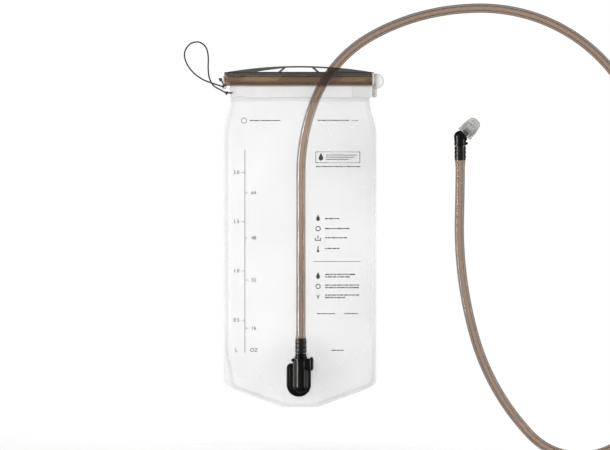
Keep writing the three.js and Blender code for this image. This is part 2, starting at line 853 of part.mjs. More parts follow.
// Where the tube is pushed over a barb it is stretched wider. Height 0 is the tube's end.
function stretchedEnd() {
	const { outer, inner, stretchedOuter, stretchedInner, stretch, taper, lap, lapInset } = TUBE;
	return turnedRing([
		[stretchedInner, 0],
		[stretchedOuter, 0],
		[stretchedOuter, stretch],
		[outer - lapInset, stretch + taper],
		[outer - lapInset, stretch + taper + lap],
		[inner + lapInset, stretch + taper + lap],
		[inner + lapInset, stretch + taper],
		[stretchedInner, stretch],
	]);
}

function tubeRun() {
	const straightFrom = TUBE.stretch + TUBE.taper - TUBE.lap;
	const wall = cut(
		tubeCore(straightFrom, TOP_AT - FIT_GAP / 2, TUBE.outer),
		tubeCore(straightFrom - TUBE.boreOverlap, TOP_AT + TUBE.boreOverlap, TUBE.inner),
	);
	return join(wall, stretchedEnd().translate(PORT.x, PORT.y, TUBE_BOTTOM_Z));
}

function tubeLoop() {
	const foot = ball(TUBE.outer).translate(...footOfLoop);
	return cut(
		join(tubeCore(TOP_AT + FIT_GAP / 2, FOOT_AT, TUBE.outer), foot),
		tubeCore(TOP_AT - TUBE.boreOverlap, FOOT_AT + 3 * TUBE.boreOverlap, TUBE.inner),
	);
}

function tubeEndRun() {
	const straightTo = route.total - TUBE.stretch - TUBE.taper + TUBE.lap;
	const wall = cut(
		tubeCore(FOOT_AT, straightTo, TUBE.outer),
		tubeCore(FOOT_AT - TUBE.boreOverlap, straightTo + TUBE.boreOverlap, TUBE.inner),
		ball(HINGE_SOCKET).translate(...footOfLoop),
	);
	return join(wall, stretchedEnd().rotateX(Math.PI).translate(...tubeEnd));
}

// The mouthpiece, in its own frame

function tilted(geometry) {
	return geometry.rotateY(VALVE_TILT).translate(0, 0, ELBOW.bendZ);
}

function elbow() {
	const { radius, bendZ, ballZ, bore } = ELBOW;
	const { spigot, spigotEnd, groove, grooveFrom, grooveTo, nub, nubOut, nubZ } = ELBOW;
	const barb = barbTeeth(0, -1);
	const barbEnd = barb.at(-1)[1] - BARB.end;
	const stem = turned([
		[0, barbEnd],
		[BARB.core - BARB.endInset, barbEnd],
		...barb.reverse(),
		[BARB.core, FIT_GAP],
		[radius, FIT_GAP],
		[radius, ballZ],
		[0, ballZ],
	]);
	const outlet = tilted(turned([
		[0, 0],
		[spigot, 0],
		[spigot, grooveFrom],
		[groove, grooveFrom],
		[groove, grooveTo],
		[spigot, grooveTo],
		[spigot, spigotEnd],
		[0, spigotEnd],
	]));
	const dome = ball(ELBOW.ball).translate(0, 0, ballZ);
	const stud = ball(nub, 8).translate(radius + nubOut, 0, nubZ);
	const bend = ball(bore).translate(0, 0, bendZ);
	const outletBore = tilted(rod(bore, 0, spigotEnd + OVERCUT));
	return cut(join(stem, dome, outlet, stud), rod(bore, barbEnd - OVERCUT, bendZ), outletBore, bend);
}

// The hard insert on the elbow's spigot that the valve shuts against.
function valveCore() {
	const inner = ELBOW.spigot + FIT_GAP;
	const outer = VALVE.sleeveInner - FIT_GAP;
	const floor = ELBOW.spigotEnd + FIT_GAP;
	return turnedRing([
		[inner, CORE.from],
		[outer, CORE.from],
		[outer, CORE.shoulder],
		[CORE.mouth, CORE.end],
		[CORE.mouth, floor],
		[inner, floor],
	]);
}

// The clear collar that is gripped to twist the valve.
function twistCollar() {
	const { collar, collarFrom, collarTo, sleeve, sleeveInner, sleeveEnd } = VALVE;
	return turnedRing([
		[sleeveInner, collarFrom],
		[collar, collarFrom],
		[collar, collarTo],
		[sleeve, collarTo],
		[sleeve, sleeveEnd],
		[sleeveInner, sleeveEnd],
	]);
}

function biteValve() {
	const { from, end, rootRadius, rootEnd, rootRound, tipRadius, tipRound } = BITE;
	const { inner, innerRoot, tipWall, slit, slitHalf, slitDepth } = BITE;
	const ceiling = end - tipWall;
	const shell = turned([
		[0, ceiling],
		[tipRadius - 2 * tipRound, ceiling - tipRound / 2],
		[tipRadius - tipRound, ceiling - 2.5 * tipRound],
		[inner, from + innerRoot],
		[inner, from],
		[rootRadius, from],
		[rootRadius - rootRound, rootEnd],
		[tipRadius, end - 3.3 * tipRound],
		[tipRadius - tipRound, end - 1.2 * tipRound],
		[tipRadius - 2.7 * tipRound, end - tipRound / 6],
		[0, end],
	]);
	const slot = block([-slit / 2, slit / 2], [-slitHalf, slitHalf], [end - slitDepth, end + OVERCUT]);
	return cut(shell, slot);
}

// Assembly

function named(name, geometry, material) {
	const mesh = new THREE.Mesh(geometry, material);
	mesh.name = name;
	return mesh;
}

const bag = new THREE.Group();
bag.add(
	named('front_panel', frontPanel(), film),
	named('back_panel', backPanel(), film),
	named('front_closure_strip', closureStrip(-1), milkyPlastic),
	named('back_closure_strip', closureStrip(1), milkyPlastic),
	named('closure_end_stop', closureEndStop(), milkyPlastic),
	named('slider', slider(), smokePlastic),
	named('tether_cord', tetherCord(), cordFibre),
);

const port = new THREE.Group();
port.position.set(PORT.x, PORT.y, PORT.mouthZ);
port.add(
	named('port_flange', portFlange(), blackPlastic),
	named('port_housing', portHousing(), blackPlastic),
	named('port_poppet', portPoppet(), milkyPlastic),
	named('poppet_seal', poppetSeal(), rubber),
	named('poppet_spring', poppetSpring(), springSteel),
	named('release_button', releaseButton(), blackPlastic),
	named('latch_plate', latchPlate(), blackPlastic),
	named('button_spring', buttonSpring(), springSteel),
	named('tube_plug', tubePlug(), blackPlastic),
	named('plug_o_ring', oRing(PLUG.ring, PLUG.ringSection, PLUG.grooveZ), rubber),
);

const tube = new THREE.Group();
tube.add(
	named('tube_run', tubeRun(), smokeTube),
	named('tube_loop', tubeLoop(), smokeTube),
	named('tube_end', tubeEndRun(), smokeTube),
);

const stemGrooveMiddle = (ELBOW.grooveFrom + ELBOW.grooveTo) / 2;
const valve = new THREE.Group();
valve.position.z = ELBOW.bendZ;
valve.rotation.y = VALVE_TILT;
valve.add(
	named('stem_o_ring', oRing(ELBOW.ring, ELBOW.ringSection, stemGrooveMiddle), rubber),
	named('valve_core', valveCore(), clearPlastic),
	named('twist_collar', twistCollar(), clearPlastic),
	named('bite_valve', biteValve(), silicone),
);

const mouthpiece = new THREE.Group();
mouthpiece.position.copy(tubeEnd);
mouthpiece.add(named('elbow', elbow(), blackPlastic), valve);

const bladder = new THREE.Group();
bladder.add(bag, port, tube, mouthpiece);

export default bladder;
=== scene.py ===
import json
import math

import bmesh
import bpy
from mathutils import Matrix, Vector, noise
from mathutils.kdtree import KDTree


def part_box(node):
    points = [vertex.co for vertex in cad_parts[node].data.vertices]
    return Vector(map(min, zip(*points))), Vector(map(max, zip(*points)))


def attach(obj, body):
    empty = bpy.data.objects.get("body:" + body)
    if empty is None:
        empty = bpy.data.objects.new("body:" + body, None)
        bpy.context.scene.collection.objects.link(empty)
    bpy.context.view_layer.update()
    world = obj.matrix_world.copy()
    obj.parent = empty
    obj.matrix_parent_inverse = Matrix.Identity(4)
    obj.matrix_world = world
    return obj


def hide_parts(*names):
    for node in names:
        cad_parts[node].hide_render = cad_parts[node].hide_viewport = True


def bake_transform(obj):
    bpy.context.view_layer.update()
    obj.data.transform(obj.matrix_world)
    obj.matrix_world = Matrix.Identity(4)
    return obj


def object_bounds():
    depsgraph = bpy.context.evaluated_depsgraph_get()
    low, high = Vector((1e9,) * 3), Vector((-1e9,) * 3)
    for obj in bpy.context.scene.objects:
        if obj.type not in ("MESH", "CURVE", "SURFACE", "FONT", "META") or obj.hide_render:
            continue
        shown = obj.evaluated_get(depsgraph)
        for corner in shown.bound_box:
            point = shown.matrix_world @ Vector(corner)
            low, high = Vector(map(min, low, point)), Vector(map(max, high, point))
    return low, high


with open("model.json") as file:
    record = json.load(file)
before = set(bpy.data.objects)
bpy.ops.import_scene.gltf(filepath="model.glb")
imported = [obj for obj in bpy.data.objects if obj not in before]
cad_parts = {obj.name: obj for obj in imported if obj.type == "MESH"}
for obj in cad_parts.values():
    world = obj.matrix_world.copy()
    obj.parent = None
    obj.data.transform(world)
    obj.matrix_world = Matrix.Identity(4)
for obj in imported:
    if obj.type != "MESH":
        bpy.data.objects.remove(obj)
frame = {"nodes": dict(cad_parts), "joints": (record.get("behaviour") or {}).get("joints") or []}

# The looks of a hydration bladder. Lengths are written in millimetres and turned into metres when a
# mesh is made. +Z is up, the printed front faces -Y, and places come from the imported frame.

MM = 0.001
CAD_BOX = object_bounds()
JOINTS = {joint["name"]: joint for joint in frame["joints"]}


def box_mm(node):
    low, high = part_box(node)
    return Vector(low) / MM, Vector(high) / MM


def pivot_mm(joint):
    return Vector(JOINTS[joint]["pos_m"]) / MM


FILM_LOW, FILM_HIGH = box_mm("front_panel")
STRIP_LOW, STRIP_HIGH = box_mm("front_closure_strip")
SLIDER_LOW, SLIDER_HIGH = box_mm("slider")
STOP_LOW, STOP_HIGH = box_mm("closure_end_stop")
FLANGE_LOW, FLANGE_HIGH = box_mm("port_flange")
BUTTON_LOW, BUTTON_HIGH = box_mm("release_button")
HOUSING_HIGH = box_mm("port_housing")[1]
PORT = pivot_mm("tube_swivel")
ARCH_TOP = pivot_mm("loop_twist")
LOOP_FOOT = pivot_mm("loop_bend")
TUBE_TOP = pivot_mm("elbow_swivel")
BEND = pivot_mm("valve_twist")
VALVE_AXIS = Vector(JOINTS["valve_twist"]["axis"]).normalized()

# The port's frame, and the valve's, which starts at the elbow's bend with Z along the valve.
PORT_PLACE = Matrix.Translation(PORT)
VALVE_PLACE = Matrix.Translation(BEND) @ VALVE_AXIS.to_track_quat("Z", "Y").to_matrix().to_4x4()


# ---- small maths


def lerp(a, b, t):
    return a + (b - a) * t


def clamp(value, low=0.0, high=1.0):
    return max(low, min(high, value))


def smoothstep(value, low, high):
    t = clamp((value - low) / (high - low))
    return t * t * (3 - 2 * t)


def smooth_min(a, b, round_by):
    near = max(round_by - abs(a - b), 0) / round_by
    return min(a, b) - near * near * round_by / 4


def bump(value, centre, width):
    return math.exp(-(((value - centre) / width) ** 2))


def evenly(low, high, steps):
    return [lerp(low, high, i / steps) for i in range(steps + 1)]


def arc(centre, radius, start, end, steps):
    """Points round a centre, between two angles in degrees."""
    turns = [math.radians(angle) for angle in evenly(start, end, steps)]
    return [(centre[0] + radius * math.cos(turn), centre[1] + radius * math.sin(turn)) for turn in turns]


def rounded(corners, arc_steps=5):
    """Rounds an open polyline. A corner is (u, v) or (u, v, radius)."""
    straight = 3.1
    points = [Vector(corner[:2]) for corner in corners]
    result = [points[0]]
    for i in range(1, len(points) - 1):
        radius = corners[i][2] if len(corners[i]) > 2 else 0
        here, into, out = points[i], points[i - 1] - points[i], points[i + 1] - points[i]
        angle = into.angle(out, math.pi)
        if radius == 0 or angle > straight:
            result.append(here)
            continue
        reach = min(radius / math.tan(angle / 2), into.length * 0.49, out.length * 0.49)
        start, end = here + into.normalized() * reach, here + out.normalized() * reach
        for t in evenly(0, 1, arc_steps):
            result.append(start * (1 - t) ** 2 + here * 2 * t * (1 - t) + end * t * t)
    return [tuple(point) for point in result + [points[-1]]]


def nearest_in(points_mm):
    """A tree that finds the nearest of some points to a place in metres."""
    tree = KDTree(len(points_mm))
    for i, point in enumerate(points_mm):
        tree.insert(point * MM, i)
    tree.balance()
    return tree


# ---- mesh makers


def add_object(name, data):
    piece = bpy.data.objects.new(name, data)
    bpy.context.scene.collection.objects.link(piece)
    return piece


def evaluated_mesh(piece):
    """The mesh that a curve, a text or a modified object turns into."""
    bpy.context.view_layer.update()
    return bpy.data.meshes.new_from_object(piece.evaluated_get(bpy.context.evaluated_depsgraph_get()))


def curve_mesh(curve):
    holder = add_object("curve", curve)
    mesh = evaluated_mesh(holder)
    bpy.data.objects.remove(holder)
    return mesh


def make_object(vertices_mm, faces, material, smooth_angle=40):
    """A mesh object in metres from points in millimetres."""
    mesh = bpy.data.meshes.new("part")
    mesh.from_pydata([Vector(v) * MM for v in vertices_mm], [], faces)
    return finish_mesh(mesh, material, smooth_angle)


def finish_mesh(mesh, material, smooth_angle=40):
    """Merges doubles, turns normals outward and shades all but the sharp edges smoothly."""
    work = bmesh.new()
    work.from_mesh(mesh)
    bmesh.ops.remove_doubles(work, verts=work.verts, dist=1e-6)
    bmesh.ops.dissolve_degenerate(work, edges=work.edges, dist=1e-7)
    bmesh.ops.recalc_face_normals(work, faces=work.faces)
    for face in work.faces:
        face.smooth = True
    for edge in work.edges:
        edge.smooth = len(edge.link_faces) != 2 or edge.calc_face_angle(0) < math.radians(smooth_angle)
    work.to_mesh(mesh)
    work.free()
    mesh.materials.clear()
    mesh.materials.append(material)
    return add_object("part", mesh)


def grid_faces(rows, columns, wrap_rows=False, wrap_columns=False, start=0):
    faces = []
    for i in range(rows if wrap_rows else rows - 1):
        for j in range(columns if wrap_columns else columns - 1):
            here, above = start + i * columns, start + (i + 1) % rows * columns
            j2 = (j + 1) % columns
            faces.append((here + j, here + j2, above + j2, above + j))
    return faces


def wall_faces(rim, shift):
    """Joins a closed rim to the same rim further on in the list of points."""
    return [(a, b, b + shift, a + shift) for a, b in zip(rim, rim[1:] + rim[:1])]


def slab_faces(rows, columns):
    """Two grids of points, one behind the other, joined along their rim."""
    shift = rows * columns
    rim = list(range(columns)) + [i * columns + columns - 1 for i in range(1, rows)]
    rim += [(rows - 1) * columns + i for i in range(columns - 2, -1, -1)]
    rim += [i * columns for i in range(rows - 2, 0, -1)]
    return grid_faces(rows, columns) + grid_faces(rows, columns, start=shift) + wall_faces(rim, shift)


def turned(profile, material, segments=64, matrix=None, closed=False):
    """Revolves (radius, height) pairs about Z, then moves the result by matrix (in millimetres)."""
    matrix = matrix or Matrix.Identity(4)
    vertices = []
    for cosine, sine in arc((0, 0), 1, 0, 360, segments)[:-1]:
        for radius, height in profile:
            vertices.append(matrix @ Vector((radius * cosine, radius * sine, height)))
    faces = grid_faces(segments, len(profile), wrap_rows=True, wrap_columns=closed)
    return make_object(vertices, faces, material)


def turned_ring(corners, arc_steps, material, segments, matrix=None):
    """Revolves a closed outline of rounded corners."""
    return turned(rounded(corners + corners[:1], arc_steps)[:-1], material, segments, matrix, closed=True)


def frames_along(points):
    """Parallel-transported (side, up) at each point of a path."""
    tangents = []
    for i in range(len(points)):
        ahead, behind = points[min(i + 1, len(points) - 1)], points[max(i - 1, 0)]
        tangents.append((ahead - behind).normalized())
    side = tangents[0].orthogonal().normalized()
    result = []
    for tangent in tangents:
        side = (side - tangent * side.dot(tangent)).normalized()
        result.append((side, tangent.cross(side)))
    return result


def swept(points, radii, material, sides, inner=None):
    """A rod along points, or with inner radii given, a tube with a wall."""
    circle = arc((0, 0), 1, 0, 360, sides)[:-1]
    vertices = []
    for ring in (radii, inner) if inner else (radii,):
        for point, (side, up), radius in zip(points, frames_along(points), ring):
            vertices += [point + (side * cosine + up * sine) * radius for cosine, sine in circle]
    shift = len(points) * sides
    first, last = list(range(sides)), list(range(shift - sides, shift))
    faces = grid_faces(len(points), sides, wrap_columns=True)
    if inner:
        faces += grid_faces(len(points), sides, wrap_columns=True, start=shift)
        faces += wall_faces(first, shift) + wall_faces(last, shift)
    else:
        faces += [first, last]
    return make_object(vertices, faces, material, smooth_angle=50)


def rod(points, radius, material):
    return swept(points, [radius] * len(points), material, sides=10)


def extruded_along_x(section, left, right, material, chamfer=0.3, leaning=()):
    """A closed (y, z) section extruded along X, with its ends drawn in slightly.

    leaning gives (x, lean) of further stations, each moved along X by lean for every unit of height."""
    centre = sum((Vector(p) for p in section), Vector((0, 0))) / len(section)
    stations = [(left, chamfer, 0), (left + chamfer, 0, 0)]
    stations += [(x, 0, lean) for x, lean in leaning]
    stations += [(right - chamfer, 0, 0), (right, chamfer, 0)]
    vertices = []
    for x, inset, lean in stations:
        for y, z in section:
            toward = centre - Vector((y, z))
            shift = toward.normalized() * min(inset, toward.length * 0.4)
            vertices.append((x + lean * (z - centre.y), y + shift.x, z + shift.y))
    n = len(section)
    faces = grid_faces(len(stations), n, wrap_columns=True)
    faces += [range(n), range(len(vertices) - n, len(vertices))]
    return make_object(vertices, faces, material, smooth_angle=35)


def plate(loops, front, back, bevel, material, matrix=None, steps=3):
    """Outlines in X and Z, the later ones holes, as a plate from y = front to back with round edges."""
    curve = bpy.data.curves.new("outline", "CURVE")
    curve.dimensions = "2D"
    curve.fill_mode = "BOTH"
    for loop in loops:
        spline = curve.splines.new("POLY")
        spline.points.add(len(loop) - 1)
        for point, (x, z) in zip(spline.points, loop):
            point.co = (x, z, 0, 1)
        spline.use_cyclic_u = True
    curve.extrude = (back - front) / 2 - bevel
    curve.bevel_depth = bevel
    curve.bevel_resolution = steps
    curve.offset = -bevel
    mesh = curve_mesh(curve)
    upright = Matrix.Translation((0, (front + back) / 2, 0)) @ Matrix.Rotation(math.pi / 2, 4, "X")
    mesh.transform(Matrix.Scale(MM, 4) @ (matrix or Matrix.Identity(4)) @ upright)
    return finish_mesh(mesh, material, 35)


def rounded_box(low, high, radius, material, segments=4):
    low, high = Vector(low), Vector(high)
    work = bmesh.new()
    bmesh.ops.create_cube(work, size=1)
    for vertex in work.verts:
        vertex.co = Vector(lerp(low[i], high[i], vertex.co[i] + 0.5) for i in range(3))
    bmesh.ops.bevel(work, geom=work.edges, offset=radius, segments=segments, profile=0.5, affect="EDGES")
    mesh = bpy.data.meshes.new("part")
    work.to_mesh(mesh)
    work.free()
    mesh.transform(Matrix.Scale(MM, 4))
    return finish_mesh(mesh, material, 35)


def cut_away(piece, tool):
    """Subtracts tool from piece and deletes tool."""
    modifier = piece.modifiers.new("cut", "BOOLEAN")
    modifier.operation = "DIFFERENCE"
    modifier.solver = "EXACT"
    modifier.object = tool
    mesh = evaluated_mesh(piece)
    piece.modifiers.clear()
    piece.data = mesh
    bpy.data.objects.remove(tool)


def moved(piece, matrix):
    """Moves a finished mesh by a matrix in millimetres."""
    piece.data.transform(Matrix.Scale(MM, 4) @ matrix @ Matrix.Scale(1 / MM, 4))


def joined(parts):
    """One object from several, each keeping its materials."""
    work = bmesh.new()
    materials = []
    for part in parts:
        own = list(part.data.materials)
        materials += [material for material in own if material not in materials]
        start = len(work.faces)
        work.from_mesh(part.data)
        work.faces.ensure_lookup_table()
        for face in work.faces[start:]:
            face.material_index = materials.index(own[face.material_index])
    mesh = bpy.data.meshes.new("part")
    work.to_mesh(mesh)
    work.free()
    for material in materials:
        mesh.materials.append(material)
    for part in parts:
        bpy.data.objects.remove(part)
    return add_object("part", mesh)


def named(name, parts, nodes):
    """The finished piece and the CAD nodes that it stands for."""
    piece = joined(parts) if len(parts) > 1 else parts[0]
    piece.name = piece.data.name = name
    if nodes:
        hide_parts(*nodes)
    return piece


def placed(name, parts, body, slot, *nodes):
    """A finished piece that rides on one body."""
    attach(named(name, parts, nodes), body)


def blended(name, parts, nodes, start, end):
    """A finished piece, with its placement baked into its mesh; start and end are not used."""
    piece = named(name, parts, nodes)
    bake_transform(piece)
    return piece


# ---- materials


def grey(level):
    return (level, level, level)


class Look:
    """A material or a world in the making. Most methods add a node and give its output."""

    def __init__(self, owner):
        owner.use_nodes = True
        self.owner = owner
        self.tree = owner.node_tree
        self.shader = self.tree.nodes.get("Principled BSDF")

    def fill(self, node, inputs):
        """Sets a node's inputs, each to a plain value or to another node's output."""
        for socket, value in inputs.items():
            if isinstance(value, bpy.types.NodeSocket):
                self.tree.links.new(value, node.inputs[socket])
            else:
                node.inputs[socket].default_value = value
        return node

    def finished(self, inputs):
        """The material, once its main shader has the inputs."""
        self.fill(self.shader, inputs)
        return self.owner

    def node(self, kind, inputs, **settings):
        node = self.tree.nodes.new("ShaderNode" + kind)
        for setting, value in settings.items():
            setattr(node, setting, value)
        return self.fill(node, inputs)

    def place(self):
        return self.node("TexCoord", {}).outputs["Object"]

    def attribute(self, name):
        return self.node("Attribute", {}, attribute_name=name).outputs["Fac"]

    def facing(self, blend=0.5):
        return self.node("LayerWeight", {"Blend": blend}).outputs["Facing"]

    def noise(self, per_metre, detail, roughness=0.5, stretch=(1, 1, 1)):
        place = self.node("Mapping", {"Vector": self.place(), "Scale": stretch}).outputs[0]
        inputs = {"Vector": place, "Scale": per_metre, "Detail": detail, "Roughness": roughness}
        return self.node("TexNoise", inputs).outputs["Fac"]

    def ramp(self, source, low, high, places=(0.3, 0.7)):
        """A colour between low and high, as the source goes from the first place to the second."""
        node = self.node("ValToRGB", {"Fac": source})
        for element, place, colour in zip(node.color_ramp.elements, places, (low, high)):
            element.position = place
            element.color = (*colour, 1)
        return node.outputs["Color"]

    def scaled(self, source, low, high, start=0.0, end=1.0):
        """A value from low to high, as the source goes from start to end."""
        inputs = {"Value": source, "From Min": start, "From Max": end, "To Min": low, "To Max": high}
        return self.node("MapRange", inputs).outputs["Result"]

    def clamped(self, operation, a, b):
        return self.node("Math", {0: a, 1: b}, operation=operation, use_clamp=True).outputs[0]

    def multiplied(self, a, b):
        inputs = {"Factor": 1.0, 6: a, 7: b}
        return self.node("Mix", inputs, data_type="RGBA", blend_type="MULTIPLY").outputs[2]

    def mixed(self, factor, first, second):
        return self.node("MixShader", {0: factor, 1: first.outputs[0], 2: second.outputs[0]})

    def roughen(self, shader, source, strength, depth_mm):
        inputs = {"Height": source, "Strength": strength, "Distance": depth_mm * MM}
        self.fill(shader, {"Normal": self.node("Bump", inputs).outputs["Normal"]})


def new_look(name):
    return Look(bpy.data.materials.new(name))


def moulded(name, dark, light, roughness, alpha=None, coat=0.0):
    """Moulded plastic: cloudy tint, uneven polish and a fine mould grain. alpha is (face on, edge on)."""
    look = new_look(name)
    look.roughen(look.shader, look.noise(900, 2), 0.35, 0.02)
    if alpha:
        look.fill(look.shader, {"Alpha": look.scaled(look.facing(), *alpha)})
    return look.finished({
        "Base Color": look.ramp(look.noise(60, 3), dark, light),
        "Roughness": look.scaled(look.noise(350, 5, 0.6), *roughness),
        "Coat Weight": coat,
        "Coat Roughness": 0.12,
    })


def bag_film():
    """Milky film: faintly clouded and satin, denser edge on, and greyer and denser along the weld line and
    where painted shade is laid on.
    """
    density = (0.25, 0.42)
    look = new_look("milky_film")
    weld_and_painted_shade = look.attribute("weld_and_painted_shade")
    plain = look.ramp(look.noise(18, 4), (0.87, 0.87, 0.872), grey(0.93))
    # Greyer along the weld line and in the painted shade and painted shadow that the attribute carries.
    tone = look.ramp(weld_and_painted_shade, grey(1), (0.66, 0.66, 0.67), (0, 1))
    streaks = look.noise(260, 3, 0.6, stretch=(1, 1, 0.12))
    edge = look.scaled(look.facing(0.3), 0.0, 0.7)
    look.roughen(look.shader, streaks, 0.25, 0.03)
    return look.finished({
        "Base Color": look.multiplied(plain, tone),
        "Roughness": look.scaled(streaks, 0.3, 0.46),
        "Alpha": look.clamped("ADD", look.scaled(weld_and_painted_shade, *density), edge),
        "Specular IOR Level": 0.8,
    })


def see_through(name, face_on, edge_on, body, shares=(0.04, 0.35), roughness=(0.08, 0.2), gloss=1.2,
                stretch=(1, 1, 1), streaks=0.0, most_gloss=(1.0, 1.0), shade=(1, 1, 1)):
    """Clear tinted plastic under a glossy skin, with a share of solid body that differs face and edge on.

    most_gloss caps the skin, where the attribute "shine" is 0 and 1, and shade tints it where that is 0."""
    look = new_look(name)
    facing, shine = look.facing(), look.attribute("shine")
    clouds = look.noise(40, 3, stretch=stretch)
    tint = look.ramp(facing, face_on, edge_on, (0.06, 0.75))
    tint = look.multiplied(tint, look.ramp(shine, shade, grey(1), (0, 1)))
    depth = look.ramp(clouds, grey(1 - streaks), grey(1), (0.35, 0.65))
    clear = look.node("BsdfTransparent", {"Color": look.multiplied(tint, depth)})
    darker = [0.75 * part for part in body]
    look.fill(look.shader, {"Base Color": look.ramp(clouds, darker, body), "Roughness": 0.5})
    inside = look.mixed(look.scaled(facing, *shares), clear, look.shader)
    polish = look.noise(300, 4, 0.6, stretch)
    skin = look.node("BsdfGlossy", {"Roughness": look.scaled(polish, *roughness)})
    look.roughen(skin, polish, 0.25, 0.02)
    mirror = look.node("Fresnel", {"IOR": 1.45}).outputs["Fac"]
    leaving = look.node("NewGeometry", {}).outputs["Backfacing"]
    strength = look.clamped("SUBTRACT", look.scaled(mirror, 0.0, gloss), leaving)
    strength = look.clamped("MINIMUM", strength, look.scaled(shine, *most_gloss))
    surface = look.mixed(strength, inside, skin).outputs[0]
    look.fill(look.tree.nodes["Material Output"], {"Surface": surface})
    return look.owner


def stop_smoke_and_painted_shade():
    """The clear end stop: milky at its round end and brown beside the slider, which is the ear's own smoky
    tone and, on the lobe, painted shade.
    """
    look = new_look("stop_smoke_and_painted_shade")
    x = look.node("SeparateXYZ", {0: look.place()}).outputs["X"]
    across = look.scaled(x, 0, 1, SLIDER_HIGH.x * MM, (STOP_HIGH.x - 4) * MM)
    return look.finished({
        # Brown beside the slider, fading to milky white: painted shade on the lobe.
        "Base Color": look.ramp(across, (0.4, 0.37, 0.31), (0.92, 0.92, 0.91), (0, 1)),
        "Roughness": look.scaled(look.noise(350, 5, 0.6), 0.2, 0.35),
        "Alpha": look.scaled(look.facing(), 0.6, 0.66),
    })


def cord_fibre():
    """Braided cord: two crossing sets of strands as bump and tone."""
    look = new_look("cord_braid")
    strands = []
    for tilt in (0.7, -0.7):
        place = look.node("Mapping", {"Vector": look.place(), "Rotation": (0, tilt, 0)}).outputs[0]
        wave = look.node("TexWave", {"Vector": place, "Scale": 700, "Distortion": 0.4})
        strands.append(wave.outputs["Fac"])
    braid = look.clamped("MAXIMUM", *strands)
    look.roughen(look.shader, braid, 0.8, 0.15)
    tone = look.ramp(braid, grey(0.012), (0.055, 0.053, 0.05), (0.2, 1))
    return look.finished({"Base Color": tone, "Roughness": 0.8})


def grained(name, per_metre, dark, light, places, roughness, metallic=0.0):
    """An opaque material with one fine grain in both its tone and its roughness."""
    look = new_look(name)
    grain = look.noise(per_metre, 3)
    return look.finished({
        "Base Color": look.ramp(grain, dark, light, places),
        "Metallic": metallic,
        "Roughness": look.scaled(grain, *roughness),
    })


FILM = bag_film()
STOP = stop_smoke_and_painted_shade()
CORD = cord_fibre()
STEEL = grained("spring_steel", 1500, (0.4, 0.41, 0.43), (0.62, 0.63, 0.65), (0.3, 0.7), (0.2, 0.4), 1.0)
INK = grained("print_ink", 1200, grey(0.03), grey(0.09), (0.3, 0.75), (0.45, 0.7))
MILKY = moulded("milky_plastic", (0.90, 0.90, 0.905), grey(0.965), (0.28, 0.45), alpha=(0.66, 0.95))
MILKY_END = moulded("milky_end", (0.85, 0.87, 0.865), (0.91, 0.93, 0.92), (0.28, 0.45), alpha=(0.6, 0.95))
BLACK = moulded("black_plastic", (0.0026, 0.0023, 0.002), (0.0055, 0.005, 0.0045), (0.24, 0.38), coat=0.15)
RUBBER = moulded("seal_rubber", grey(0.012), grey(0.024), (0.55, 0.75))
STREAKED = {"stretch": (0.3, 1, 1), "streaks": 0.09}
SMOKE = see_through("smoke_plastic", (0.835, 0.77, 0.697), (0.54, 0.46, 0.37), (0.12, 0.09, 0.06),
                    **STREAKED)
# A paler smoke, used for painted highlights on the slider.
SMOKE_PAINTED_HIGHLIGHT = see_through("smoke_painted_highlight", (0.93, 0.85, 0.745), (0.6, 0.52, 0.42), (0.16, 0.12, 0.08),
                         **STREAKED)
# Pale cream smoke: a painted highlight on the slider's right end rim.
SMOKE_RIM_HIGHLIGHT = see_through("smoke_rim_painted_highlight", (0.98, 0.95, 0.89), (0.88, 0.83, 0.74), (0.95, 0.9, 0.8), (0.6, 0.8),
                        gloss=2.0)
SMOKE_DEEP = see_through("smoke_deep", (0.655, 0.68, 0.77), grey(0.42), (0.06, 0.055, 0.05), (0.06, 0.4),
                         (0.1, 0.25), 1.0)
SMOKE_RAIL = see_through("smoke_rail", (0.985, 0.975, 1.0), (0.66, 0.6, 0.55), (0.10, 0.075, 0.05),
                         (0.04, 0.3), (0.1, 0.25), 1.0)
SMOKE_WEB = see_through("smoke_web", (0.36, 0.362, 0.34), (0.19, 0.185, 0.175), (0.115, 0.115, 0.103),
                        (0.35, 0.7))
CLEAR = see_through("clear_plastic", (0.965, 0.965, 0.96), (0.78, 0.78, 0.77), (0.8, 0.8, 0.79),
                    (0.06, 0.35), (0.12, 0.2), most_gloss=(0.25, 0.25))
SILICONE = see_through("clear_silicone", (0.94, 0.94, 0.935), (0.74, 0.74, 0.73), (0.8, 0.8, 0.79),
                       (0.2, 0.5), (0.26, 0.36), 1.0, most_gloss=(0.2, 0.2))
TUBE_COLOURS = (0.87, 0.81, 0.745), (0.44, 0.375, 0.32), (0.30, 0.24, 0.19)
# TUBE_SHADE is painted shade: it darkens the tube's tint where its painted light is low.
TUBE_SHADE = (0.905, 0.9, 0.915)
TUBE = see_through("smoke_tube", *TUBE_COLOURS, (0.05, 0.2), (0.13, 0.19), 4.0, stretch=(1, 1, 0.3),
                   most_gloss=(0.06, 0.6), shade=TUBE_SHADE)
TUBE_BORE = see_through("smoke_tube_bore", *TUBE_COLOURS, (0.03, 0.1), (0.2, 0.3), 0.0, shade=TUBE_SHADE)
TUBE_ON_BARB = see_through("tube_on_barb", (0.1, 0.08, 0.065), (0.16, 0.13, 0.1), (0.014, 0.01, 0.008),
                           (0.8, 0.6), (0.16, 0.26), 1.3, most_gloss=(0.14, 0.14))


# ---- the bag


